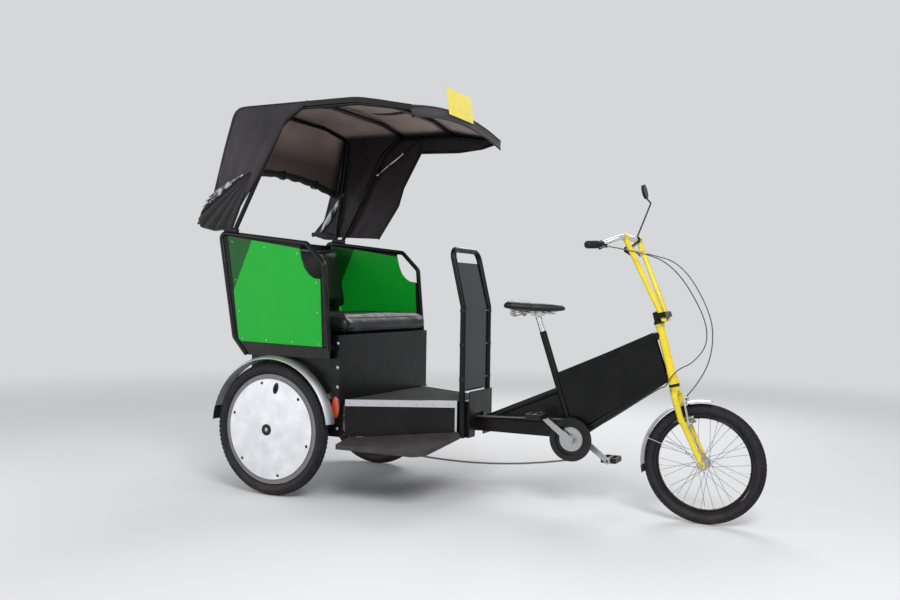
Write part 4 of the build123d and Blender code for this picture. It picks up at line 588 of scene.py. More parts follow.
def sign_film(name, colour):
    """Printed vinyl film on sheet: flat yellow with a faint waviness."""
    paint = Paint(name)
    wave = paint.noise(55, 1.0)
    paint.bump(wave, 0.3, 0.3)
    return paint.finish(base=paint.tones(wave, 0.35, 0.7, colour, "E6CE28", 0.35), rough=0.33, ior=1.5)


# Edge of the painted shadow that the canopy casts on the side panel's green: slope, and one spot on it in
# metres
SHADOW_EDGE_SLOPE = 0.44
SHADOW_EDGE_SPOT = (REAR_X - 0.156, 1.1956)


def panel_film(name):
    """Green film with a faint waviness and a painted shadow of the canopy: darker green in its upper rear
    corner.
    """
    paint = Paint(name)
    place = paint.apart()
    ahead = paint.maths("MULTIPLY_ADD", place["Z"], -SHADOW_EDGE_SLOPE, place["X"])
    edge = SHADOW_EDGE_SPOT[0] - SHADOW_EDGE_SLOPE * SHADOW_EDGE_SPOT[1]
    shadow_mask = paint.spread(ahead, edge - 0.0006, edge + 0.0006, 1.0, 0.0)
    bright = paint.tones(paint.noise(140, 1.0), 0.35, 0.7, "0FA52D", "0D9E2A", 0.4)
    # Painted shadow: darker green on the far side of the edge
    base = paint.dust(paint.mix(shadow_mask, bright, "045219"), "6A7A50", 0.1, 0.9)
    paint.bump(paint.noise(75, 1.0), 0.5, 0.25)
    return paint.finish(base=base, rough=0.36, ior=1.4, shine=0.24)


def make_materials():
    """Every finish of the vehicle, kept under the names that the pieces use."""
    return {
        "black": powder_coat("Steel tube, black powder coat", "050506", rough=0.3, shine=0.24),
        "panel": powder_coat("Sheet panel, black film", "040405", rough=0.34, shine=0.2),
        "gloss": moulded("Acrylic sheet, gloss black", "060608", 0.12, 30.0, 0.03, dusty=0.05),
        "yellow": powder_coat("Steel tube, yellow enamel", "DEC72C", rough=0.24, peel=0.006, dusty=0.05),
        "green": panel_film("Side panel, green vinyl film"),
        "grey": powder_coat("Alloy rim, grey lacquer", "6C6C71", rough=0.3),
        "rim_black": powder_coat("Alloy rim, black anodised", "0B0B0D", rough=0.26, dusty=0.08, shine=0.3),
        "aluminium": metal("Aluminium, satin anodised", "CFD1D4", 0.3, brush=(0.2, 1, 1)),
        "chrome": metal("Steel, bright plated", "DCDDDF", 0.2, grain=0.0, mark_mm=60.0),
        "spokes": metal("Hub and spokes, stainless steel", "B2B4B6", 0.42, grain=0.0, mark_mm=40.0),
        "silver": metal("Mudguard laminate, silver satin", "C9CACD", 0.42, brush=(1, 0.3, 1), grain=0.01),
        "steel": metal("Steel, zinc plated", "B9BBBD", 0.32),
        "chain": metal("Chain steel, oiled", "6E675E", 0.38),
        "cover": moulded("Polypropylene wheel cover, white", "DADCDF", 0.36, 1.6, 0.04, dusty=0.16),
        "plastic": moulded("Nylon, black moulded", "08080A", 0.42),
        "cable": moulded("Cable housing, grey extruded", "4E4E50", 0.4),
        "rubber": moulded("Rubber, black moulded", "0B0B0C", 0.68, 2.0, 0.12),
        "tyre": tyre_rubber("Tyre rubber, moulded"),
        "vinyl": leatherette("Vinyl upholstery, black embossed", "0B0B0D"),
        "canopy": coated_cloth("Canvas, black coated", "1B191C", "372F38", inner="B39D95"),
        # Rolled-up canvas is the same cloth as the canopy, made darker as painted shade in its folds
        "canopy_roll_shaded": coated_cloth("Canvas, rolled up", "0A090B", "1C191C"),
        "binding": coated_cloth("Edge tape, woven black", "060607", "111013"),
        "grit": grit_tape("Step tread, mineral grit", "26262A"),
        "mat": moulded("Floor mat, ribbed rubber", "1B1B1C", 0.7, 2.0, 0.15),
        "orange": prism_lens("Reflector, orange acrylic", "F2581B"),
        "red": prism_lens("Lamp lens, red acrylic", "C4160E"),
        "glass": silvered_glass("Mirror glass, silvered"),
        "window": window_film("Side window, clear vinyl film rolled up"),
        "sign": sign_film("Sign plate, yellow film", "F2DE2E"),
    }


SKIN = {}


def skin(name):
    if not SKIN:
        SKIN.update(make_materials())
    return SKIN[name]


# Finish of each node of the frame
CAD_FINISH = {
    "black": "main_frame differential chassis floor_pan step_brackets side_frame_right side_frame_left"
             " canopy_frame grab_hoop stem",
    "panel": "frame_panel seat_box back_panel",
    "gloss": "hoop_panel",
    "yellow": "head_tube fork risers",
    "green": "side_panels",
    "grey": "rear_rim_right rear_rim_left",
    "rim_black": "front_rim",
    "aluminium": "floor_trim front_brake",
    "silver": "mudguard_right mudguard_left front_mudguard",
    "chrome": "seat_post handlebar",
    "spokes": "front_hub rear_hub_right rear_hub_left",
    "steel": "front_axle crankset",
    "chain": "chain",
    "cover": "rear_cover_right rear_cover_left",
    "plastic": "headset brake_levers mirror chainring pedal_right pedal_left",
    "cable": "front_cable rear_cable_front rear_cable",
    "rubber": "mudflaps front_mudflap grips",
    "tyre": "front_tyre rear_tyre_right rear_tyre_left",
    "vinyl": "saddle seat_cushion back_cushion",
    "canopy": "canopy_cover",
    "grit": "steps",
    "orange": "reflectors",
    "red": "rear_lamps",
    "sign": "sign_plate",
}


# Settings


class RickshawFinish(bpy.types.PropertyGroup):
    """Sizes and colours that a user may change."""
    tread_depth: bpy.props.FloatProperty(
        name="Tread depth", description="Height of the tyre's tread blocks", default=0.0036, unit="LENGTH")
    fold_depth: bpy.props.FloatProperty(
        name="Fold depth", description="How deep the canopy sags between its bows", default=0.014,
        unit="LENGTH")
    seat_swell: bpy.props.FloatProperty(
        name="Seat swell", description="Furthest that the cushion's foam may push its cover", default=0.018,
        unit="LENGTH")
    floor_colour: bpy.props.FloatVectorProperty(
        name="Floor colour", description="Colour of the studio floor", default=linear("E8E8EA")[:3],
        subtype="COLOR")


# Operators


class RICKSHAW_OT_finish(bpy.types.Operator):
    """Gives every part of the frame its finish"""
    bl_idname = "rickshaw.finish"
    bl_label = "Finish the frame"

    def execute(self, context):
        for finish, nodes in CAD_FINISH.items():
            for node in nodes.split():
                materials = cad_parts[node].data.materials
                materials.clear()
                materials.append(skin(finish))
        return {"FINISHED"}


# Foam: rounding of the block's edges and size of the remeshed faces, in metres, and frames of blowing up
FOAM_ROUNDING = 0.03
FOAM_VOXEL = 0.008
FOAM_FRAMES = 14


def swollen(name, low, high, cap, shape=None):
    """Vinyl cushion: a rounded block remeshed, blown up as cloth and held within cap."""
    work = bmesh.new()
    bmesh.ops.create_cube(work, size=1.0)
    for v in work.verts:
        v.co = v.co * (high - low) + (high + low) / 2
    bmesh.ops.bevel(work, geom=work.edges[:], offset=FOAM_ROUNDING, segments=3, affect="EDGES", profile=0.5)
    for v in work.verts:
        v.co = shape(v.co) if shape else v.co
    mesh = bpy.data.meshes.new(name)
    work.to_mesh(mesh)
    work.free()
    seed_piece = dress(name, mesh, "vinyl", "frame")
    remesh = seed_piece.modifiers.new("Remesh", "REMESH")
    remesh.mode = "VOXEL"
    remesh.voxel_size = FOAM_VOXEL
    mesh = baked(seed_piece)
    bpy.data.objects.remove(seed_piece)
    piece = dress(name, mesh, "vinyl", "frame")
    cloth = piece.modifiers.new("Cloth", "CLOTH")
    cloth.settings.quality = 5
    cloth.settings.use_pressure = True
    cloth.settings.uniform_pressure_force = 4.0
    cloth.settings.effector_weights.gravity = 0.0
    cloth.collision_settings.use_collision = False
    for step in range(1, FOAM_FRAMES + 1):
        bpy.context.scene.frame_set(step)
    blown = baked(piece)
    moved = [v.co.copy() for v in blown.vertices]
    piece.modifiers.remove(cloth)
    bpy.context.scene.frame_set(1)
    for v, end in zip(mesh.vertices, moved):
        shift = end - v.co
        if shift.length > cap:
            shift *= cap / shift.length
        v.co += shift
    bpy.data.meshes.remove(blown)
    return piece


def eased(piece, rounds):
    """Relaxes a dense mesh a little, then adds one subdivision for good."""
    work = bmesh.new()
    work.from_mesh(piece.data)
    for _ in range(rounds):
        bmesh.ops.smooth_vert(
            work, verts=work.verts, factor=0.5, use_axis_x=True, use_axis_y=True, use_axis_z=True)
    work.to_mesh(piece.data)
    work.free()
    extra = piece.modifiers.new("Subdivision", "SUBSURF")
    extra.levels = 1
    mesh = baked(piece)
    piece.modifiers.clear()
    old = piece.data
    piece.data = mesh
    bpy.data.meshes.remove(old)
    mesh.name = piece.name
    for face in mesh.polygons:
        face.use_smooth = True


def dent(distance, width):
    """Share of a groove's depth at a distance from its middle."""
    return math.exp(-(distance / width) ** 2)


# Back rest: lean of its panel, and the panel's station in metres at its foot's height
BACK_LEAN = 0.19
BACK_FOOT = 0.8556


class RICKSHAW_OT_cushions(bpy.types.Operator):
    """Makes the bench cushion and the back rest of foam under vinyl"""
    bl_idname = "rickshaw.cushions"
    bl_label = "Cushions"

    def execute(self, context):
        cap = context.scene.rickshaw_finish.seat_swell
        self.bench(cap)
        self.back(cap)
        return {"FINISHED"}

    def bench(self, cap):
        """Bench cushion with two seats pressed in, a seam between them and two welts."""
        piece = swollen("bench_cushion", at(-94, -398, 774), at(358, 398, 842), cap)
        floor = at(0, 0, 760.8).z
        crown = at(0, 0, 815).z
        for v in piece.data.vertices:
            v.co.z = max(v.co.z, floor)
            if v.co.z > crown:
                v.co.z -= 0.007 * dent(abs(v.co.y) - 0.205, 0.13) * dent(v.co.x - REAR_X - 0.15, 0.17)
                v.co.z -= 0.006 * dent(v.co.y, 0.006)
        eased(piece, 3)
        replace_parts(piece, "seat_cushion")
        self.piping("bench_piping", piece, 838)
        self.piping("bench_low_piping", piece, 779)

    def back(self, cap):
        """Back cushion leaning on its panel, with three upright channels."""

        def shape(p):
            return Vector((p.x - (p.z - BACK_FOOT) * BACK_LEAN, p.y, p.z))

        piece = swollen("back_cushion_cover", at(-220, -398, 870), at(-154, 398, 1204), cap, shape)
        for v in piece.data.vertices:
            panel = REAR_X - 0.206 - (v.co.z - 0.700) * BACK_LEAN + 0.0014
            v.co.x = max(v.co.x, panel)
            v.co.z = max(v.co.z, 0.8572)
            if v.co.x > panel + 0.05:
                for y in (-0.206, 0.0, 0.206):
                    v.co.x -= 0.009 * dent(v.co.y - y, 0.007)
        eased(piece, 3)
        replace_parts(piece, "back_cushion")

    def piping(self, name, piece, height):
        """Welt round a cushion at one height, laid on its surface."""
        centre = at(132, 0, height)
        points = []
        for c, s in circle(90):
            way = Vector((c * 236, s * 402, 0)).normalized()
            hit, spot, _, _ = piece.ray_cast(centre, way)
            points.append((spot if hit else centre) + way * 0.0006)
        hose(name, points + points[:1], 0.0028, "vinyl", "frame", sides=8, caps=False)


# Roof of the canopy: stations and heights of its side edge, in millimetres
ROOF_LINE = ((-300, 1525.3), (-238, 1835.3), (454, 1829.3), (731, 1771.3), (731, 1727.0))
ROOF_HALF = 480.0
ROOF_RISE = 50
ROOF_AXIS = 1835.3 + ROOF_RISE - 2329.0
BOWS = (-218, 150, 450, 709)
RIGHT_EDGE = ((183, 1831.6), (60, 1762), (-31, 1621), (-117, 1484), (-205, 1368), (-277, 1262))
LEFT_EDGE = ((254, 1831.0), (252, 1733), (143, 1544), (112, 1445), (-15, 1262))
LEFT_HEM = ((254, 1733), (487, 1724), (624, 1735), (731, 1762))


def line_spot(line, share):
    """Station and height at a share of a line's length."""
    spot = between([Vector((x, z, 0)) for x, z in line], share)
    return spot.x, spot.y


def softened(line, step=9.0, rounds=26):
    """A line of stations and heights in even steps, its corners eased as taut cloth eases them."""
    spots = [Vector((x, z, 0)) for x, z in line]
    count = int(sum((b - a).length for a, b in zip(spots, spots[1:])) / step)
    run = [between(spots, t) for t in shares(count)]
    for _ in range(rounds):
        middle = [b * 0.5 + (a + c) * 0.25 for a, b, c in zip(run, run[1:], run[2:])]
        run = [run[0], *middle, run[-1]]
    return [(v.x, v.y) for v in run]


ROOF_RUN = softened(ROOF_LINE[:4]) + [(731, 1757.0), (731, 1742.0), (731, 1727.0)]
TOP_RUN = [spot for spot in ROOF_RUN if spot[1] > 1760]
CORNER = min(ROOF_RUN, key=lambda spot: abs(spot[0] + 238) + abs(spot[1] - 1835.3))
REAR_EDGE = (CORNER, (-250, 1794), (-302, 1638), (-379, 1374), (-466, 1283))


def roof_z(x):
    """Height of the roof's side edge at a station ahead of its rear corner."""
    for (x0, z0), (x1, z1) in zip(TOP_RUN, TOP_RUN[1:]):
        if x0 <= x <= x1:
            return z0 + (z1 - z0) * (x - x0) / max(x1 - x0, 0.001)
    return TOP_RUN[-1][1] if x > 0 else TOP_RUN[0][1]


def arched(x, edge_z, y, drop=0.0):
    """Point of the arched roof above a station, from its side edge's height."""
    r = edge_z + ROOF_RISE - ROOF_AXIS
    return at(x, y, ROOF_AXIS + math.sqrt(r * r - y * y) - drop)


def bulging(share, low, high):
    """Swell between two shares of a half wave."""
    return math.sin(math.pi * (low + (high - low) * share))


# Near flap's folded lower end: its gathered top, and the line of its free end
FAN_APEX = (-126, 1534)
FAN_END = ((-372, 1424), (-420, 1366), (-462, 1302), (-446, 1266), (-362, 1246), (-252, 1256))
# Tapes on the flaps' edges: name, side, line, steps, width and thickness in metres
TAPES = (
    ("right_front", -1, RIGHT_EDGE, 40, 0.016, 0.0032), ("left_front", 1, LEFT_EDGE, 40, 0.016, 0.0032),
    ("right_rear", -1, REAR_EDGE, 30, 0.012, 0.003), ("left_rear", 1, REAR_EDGE, 30, 0.012, 0.003),
    ("left_hem", 1, LEFT_HEM, 30, 0.014, 0.003),
)
# Ridges of clear film in the fan: share round its end at start and end, reach at start and end, radius in mm
RIDGES = ((0.03, 0.05, 0.20, 0.99, 9.0), (0.13, 0.12, 0.42, 1.0, 7.5), (0.22, 0.21, 0.60, 0.99, 5.0))


class RICKSHAW_OT_canopy(bpy.types.Operator):
    """Makes the canopy's cloth, its hems, straps and the rolled curtain"""
    bl_idname = "rickshaw.canopy"
    bl_label = "Canopy"

    def execute(self, context):
        depth = context.scene.rickshaw_finish.fold_depth * 1000
        cloth = joined("canopy_cloth", [
            self.roof(depth),
            self.flap(-1, RIGHT_EDGE, 183, 26, 3.4),
            self.flap(1, LEFT_EDGE, 254, 30, 4.1),
            self.valance(),
        ], "frame")
        self.face_out(cloth)
        self.lay_threads(cloth)
        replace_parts(cloth, "canopy_cover")
        trims = self.bindings() + self.rolls()
        self.strut()
        return {"FINISHED"}

    def roof(self, depth):
        """Rear curtain, roof and front valance as one surface, sagging between the bows."""
        across = [ROOF_HALF * (2 * t - 1) for t in shares(60)]
        rows = [[arched(x, z, y, self.sag(x, y, depth)) for y in across] for x, z in ROOF_RUN]
        return grid_piece("canopy_roof", rows, "canopy")

    def sag(self, x, y, depth):
        """How far the cloth hangs below its own arch at one spot, with folds of about 3 mm."""
        middle = 1 - (abs(y) / ROOF_HALF) ** 2.4
        drop = 0.0
        for a, b in zip(BOWS, BOWS[1:]):
            if a < x < b:
                t = (x - a) / (b - a)
                hang = 4 * t * (1 - t)
                folds = ripple(x / 46, y / 210, 7.0) + 0.6 * ripple(x / 90, y / 60, 2.0)
                drop += hang * (depth * middle + 3.2 * folds * (0.25 + 0.75 * middle))
        return max(drop, -0.5)

    def flap(self, side, front, top_x, columns, waves):
        """Side flap from the hood's rear edge to its own front edge, with gathers, crumples and a belly."""
        rows = []
        for s in shares(44):
            rx, rz = line_spot(REAR_EDGE, s)
            fx, fz = line_spot(front, s)
            row = []
            for t in shares(columns):
                x = rx + (fx - rx) * t
                z = rz + (fz - rz) * t
                if s == 0:
                    x = CORNER[0] + (top_x - CORNER[0]) * t
                    z = max(CORNER[1], roof_z(x))
                gather = math.sin(2 * math.pi * waves * t + 1.8 * s + 0.8 * ripple(t * 2, s * 3, side))
                out = 4.5 * gather * s ** 0.8 * min(min(t, 1 - t) * 5 + 0.25, 1.0)
                out += 3.0 * ripple(x / 70, z / 50, side * 3.0) * min(s * 4, 1.0)
                out += 7.0 * math.sin(math.pi * s) * math.sin(math.pi * t)
                row.append(at(x, side * (ROOF_HALF + max(out, -2.0)), z))
            rows.append(row)
        return grid_piece("canopy_flap", rows, "canopy")

    def valance(self):
        """Left side's short valance ahead of the flap."""
        start = LEFT_EDGE[0][0]
        end = ROOF_LINE[-1][0]
        rows = []
        for t in shares(32):
            hem_x, hem_z = line_spot(LEFT_HEM, t)
            top_x = start + (end - start) * t
            top_z = roof_z(top_x) + 0.4
            row = []
            for k in shares(8):
                out = 5 * k * (1 - k) + 4.0 * k * math.sin(t * 17.0)
                x = top_x + (hem_x - top_x) * k
                z = top_z + (hem_z - top_z) * k
                row.append(at(x, ROOF_HALF + max(out, -1.5), z))
            rows.append(row)
        return grid_piece("canopy_valance", rows, "canopy")

    def face_out(self, cloth):
        """Turns every face of the cloth away from the passengers."""
        inside = at(150, 0, 1450)
        work = bmesh.new()
        work.from_mesh(cloth.data)
        bmesh.ops.remove_doubles(work, verts=work.verts, dist=0.0008)
        for face in work.faces:
            if face.normal.dot(face.calc_center_median() - inside) < 0:
                face.normal_flip()
        work.to_mesh(cloth.data)
        work.free()
        for face in cloth.data.polygons:
            face.use_smooth = True

    def lay_threads(self, cloth):
        """Thread directions as a UV map in metres, each face laid flat along its two widest axes."""
        mesh = cloth.data
        chart = mesh.uv_layers.new(name="threads")
        for face in mesh.polygons:
            n = face.normal
            flat = (1, 2) if abs(n.x) > max(abs(n.y), abs(n.z)) else (0, 2) if abs(n.y) > abs(n.z) else (0, 1)
            for corner in face.loop_indices:
                p = mesh.vertices[mesh.loops[corner].vertex_index].co
                chart.data[corner].uv = (p[flat[0]], p[flat[1]])

    def bindings(self):
        """Tape along the free edges, welts, and the webbing under the roof."""
        found = []
        for name, side, line, count, width, thick in TAPES:
            spots = [line_spot(line, t) for t in shares(count)]
            points = [at(x, side * (ROOF_HALF + 1.0), z) for x, z in spots]
            found.append(strip("canopy_tape_" + name, points, LEFT * side, width, thick, "binding", "frame"))
        across = [ROOF_HALF * (2 * t - 1) for t in shares(40)]
        front = [arched(731.6, 1727.0, y) for y in across]
        found.append(strip("canopy_tape_front", front, AHEAD, 0.016, 0.003, "binding", "frame"))
        welts = {"front": [arched(731.4, 1768.0, y) for y in across]}
        for name, side in SIDES:
            welts[name] = [at(x, side * (ROOF_HALF + 0.6), z + 0.6) for x, z in TOP_RUN[::2]]
        for name, points in welts.items():
            radius = 0.0026 if name == "front" else 0.003
            found.append(hose("canopy_welt_" + name, points, radius, "binding", "frame", sides=6))
        hem = [at(x, -(ROOF_HALF + 1.2), roof_z(x) - 9.5) for x in range(170, 732, 11)]
        found.append(strip("canopy_tape_right_hem", hem, -LEFT, 0.023, 0.0034, "binding", "frame"))
        rib = []
        for t in shares(30):
            x = 196 + (704 - 196) * t
            z = 1829.3 + (454 - x) * 6 / 692 if x <= 454 else 1829.3 - 58 * (x - 454) / 277
            bay = (x - 190) / 260 if x < 450 else (x - 450) / 259
            rib.append(arched(x, z, 60, abs(13 * math.sin(math.pi * bay)) + 5.5))
        found.append(strip("canopy_webbing", rib, UP, 0.034, 0.0024, "binding", "frame"))
        return found

    def rolls(self):
        """Rear curtain rolled up on itself with its straps, and the flaps' lower ends behind the bows, in
        canvas darkened as painted shade.
        """
        points = []
        radii = []
        for t in shares(64):
            y = 468 * (2 * t - 1)
            bulge = ripple(y / 55, 4.0, 1.0)
            points.append(arched(-306 + 2 * bulge, 1527, y, 3 + 4 * bulge))
            radii.append(0.019 + 0.0035 * bulge)
        found = [hose("canopy_curtain_roll", points, radii, "canopy_roll_shaded", "frame", sides=18)]
        for y in (-300, -20, 270):
            centre = arched(-306, 1527, y, 3)
            found.append(band(f"canopy_strap_{y + 500}", centre, AHEAD * 0.0235, UP * 0.0245, 0.025, 0.0022,
                              "binding", "frame"))
        points = []
        radii = []
        for t in shares(40):
            wobble = ripple(t * 7, 5.0, 2.0)
            points.append(at(-290 - 172 * t, 480 + 5 * wobble, 1275 + 24 * t + 5 * wobble))
            radii.append(0.010 + 0.013 * math.sin(math.pi * min(t * 1.1, 1.0)) + 0.003 * wobble)
        found.append(hose("canopy_bunch_left", points, radii, "canopy_roll_shaded", "frame", sides=16))
        return found + [self.window_roll(), self.fan(), self.fan_window()]

    def fan_spot(self, s, r, out):
        """Point of the folded flap: share s round its free end, share r out from its apex."""
        x, z = line_spot(FAN_END, s)
        apex_x, apex_z = FAN_APEX
        return at(apex_x + (x - apex_x) * r, -(ROOF_HALF + out), apex_z + (z - apex_z) * r)

    def fan(self):
        """Near flap's lower end folded up in pleats that run from the bow to its free end, its canvas
        darkened as painted shade.
        """
        rows = []
        for t in shares(36):
            r = 0.06 + 0.94 * t
            tip = max(r - 0.93, 0.0) / 0.07
            row = []
            for s in shares(90):
                pleat = abs(math.sin(math.pi * 5.5 * s + 0.5 * math.sin(3 * r))) ** 0.75
                swell = math.sin(math.pi * min(max(s, 0.04), 0.96)) ** 0.4
                crumple = 2.2 * ripple(r * 5, s * 12, 3.0) * r
                out = 3.0 + (5.0 + 15.0 * r) * (0.35 + 0.65 * pleat) * swell + crumple
                rounding = math.sqrt(max(1 - tip * tip * 0.9, 0.0))
                row.append(self.fan_spot(s, r - 0.008 * pleat * tip, out * rounding))
            row += [self.fan_spot(s, r, -6.0) for s in reversed(shares(15))]
            rows.append(row)
        return grid_piece("canopy_fan", rows, "canopy_roll_shaded", "frame", ring=True, caps=True)

    def fan_window(self):
        """Clear window caught in the fold: creased, shining ridges along the flap's upper fold."""
        ridges = []
        for first, last, start, end, thick in RIDGES:
            points = []
            radii = []
            for t in shares(48):
                r = start + (end - start) * t
                s = first + (last - first) * t + 0.012 * ripple(t * 9, first * 40, 1.0)
                points.append(self.fan_spot(s, r, 14.0 + 6.0 * r + 2.0 * ripple(t * 14, 2.0, first * 9)))
                crease = 0.75 + 0.5 * ripple(t * 11, 5.0, first * 30)
                radii.append((thick * bulging(t, 0.05, 0.98) ** 0.6 * crease + 1.0) / 1000)
            ridges.append(hose("ridge", points, radii, "window"))
        return joined("canopy_window_right", ridges, "frame")

    def window_roll(self):
        """Clear side window rolled up behind the left flap, creased and shiny."""
        low = Vector((-395, 1305))
        high = Vector((-250, 1520))
        rows = []
        for t in shares(56):
            middle = low.lerp(high, t)
            row = []
            for k, (c, s) in enumerate(circle(26)):
                turn = 2 * math.pi * k / 26
                crease = 0.0032 * math.sin(5 * turn + 7 * t) + 0.0026 * ripple(t * 16, turn * 1.6, 1)
                r = 0.026 * bulging(t, 0.12, 0.92) + 0.004 + crease * min(1.0, 6 * t * (1 - t) + 0.2)
                row.append(at(middle.x + 900 * r * c, 468 + 279 * r * s, middle.y + 420 * r * c))
            rows.append(row)
        return grid_piece("canopy_window_left", rows, "window", "frame", ring=True, caps=True)

    def strut(self):
        """Bright sleeve on the strut inside the left flap, and the folding joint's rivets."""
        ends = ((151, 1730), (-9, 1621))
        parts = [hose("sleeve", [at(x, 458.7, z) for x, z in ends], 0.0054, "chrome", sides=16)]
        for x, z in ends:
            parts.append(pin("rivet", at(x, 450.5, z), LEFT, ((0, 7.5), (16, 7.5)), "chrome", sides=14))
        joined("canopy_strut", parts, "frame")


# Tyre: outer, section and bead radius and number of tread copies. Rim: bead radius, depth, half width, finish
REAR_TYRE = (311.0, 29.0, 258.3, 88)
REAR_RIM = (258.0, 30.0, 15.0, "grey")
FRONT_TYRE = (254.0, 25.0, 208.3, 76)
FRONT_RIM = (208.0, 17.0, 14.0, "rim_black")
# Wheels: end, side, middle, tyre, rim, radius at the spokes' ends, radius and angle of the valve
WHEELS = (
    ("rear", "_right", (0, -474, 311), REAR_TYRE, REAR_RIM, 228.1, (228.0, 80)),
    ("rear", "_left", (0, 474, 311), REAR_TYRE, REAR_RIM, 228.1, (228.0, 80)),
    ("front", "", (1900, 0, 254), FRONT_TYRE, FRONT_RIM, 191.1, (191.0, 118)),
)
# Tread blocks on one side: start and end across in degrees, start and length in one pitch, slant
TREAD = (
    (2, 13, 0.05, 0.52, 0.16), (16, 30, 0.40, 0.46, 0.10), (33, 47, 0.08, 0.50, 0.06),
    (50, 64, 0.42, 0.42, 0.00), (66, 74, 0.10, 0.34, 0.00),
)
# Half section of a rim: radius counted from its bead or from its inner edge, and how far it stays inside
RIM_OUTER = ((-0.4, 3.0), (-0.2, 1.2), (-0.8, 0.2), (-2.2, 0.0), (-3.5, 0.6), (-4.8, 0.8), (-12.5, 1.0))
RIM_INNER = ((7.5, 0.6), (4.5, 2.4), (2.0, 6.2), (0.4, 10.0))
# Turned parts on a wheel cover: name, finish, steps and outline of radius and offset
COVER_RINGS = (
    ("cover_seal", "rubber", 64, ((26.2, 42.5), (26.2, 45.0), (24.4, 45.8), (22.8, 44.8), (22.8, 40.5))),
    ("hub_cap", "plastic", 64,
     ((22.4, 44.2), (22.4, 45.3), (19.0, 46.3), (12.5, 45.2), (9.4, 44.8), (9.4, 44.1))),
)
AXLE_NUT = ((0.4, 47.0), (7.0, 46.8), (9.0, 45.8), (9.0, 40.0))
SCREW_HEAD = ((0.8, 2.4), (2.2, 2.3), (4.5, 1.9), (5.6, 0.6), (5.8, -0.6))
SCREW_WASHER = ((5.8, 0.2), (7.8, 0.2), (8.0, -0.4), (5.8, -0.4))
# The cover's cone: its rise over its radius, and the screws' circle
COVER_RISE = 26
COVER_REACH = 209
SCREW_CIRCLE = 217.5
GASKET = (
    (12.6, 5.2, -1.8), (12.6, 5.2, 1.0), (14.0, 6.4, 1.5), (24.5, 13.0, 1.3), (26.5, 14.5, 0.7),
    (27.0, 14.9, -0.3),
)
VALVE_CAP = ((19.5, 3.4), (20.5, 4.2), (30.0, 4.2), (32.5, 3.4), (33.2, 1.2))


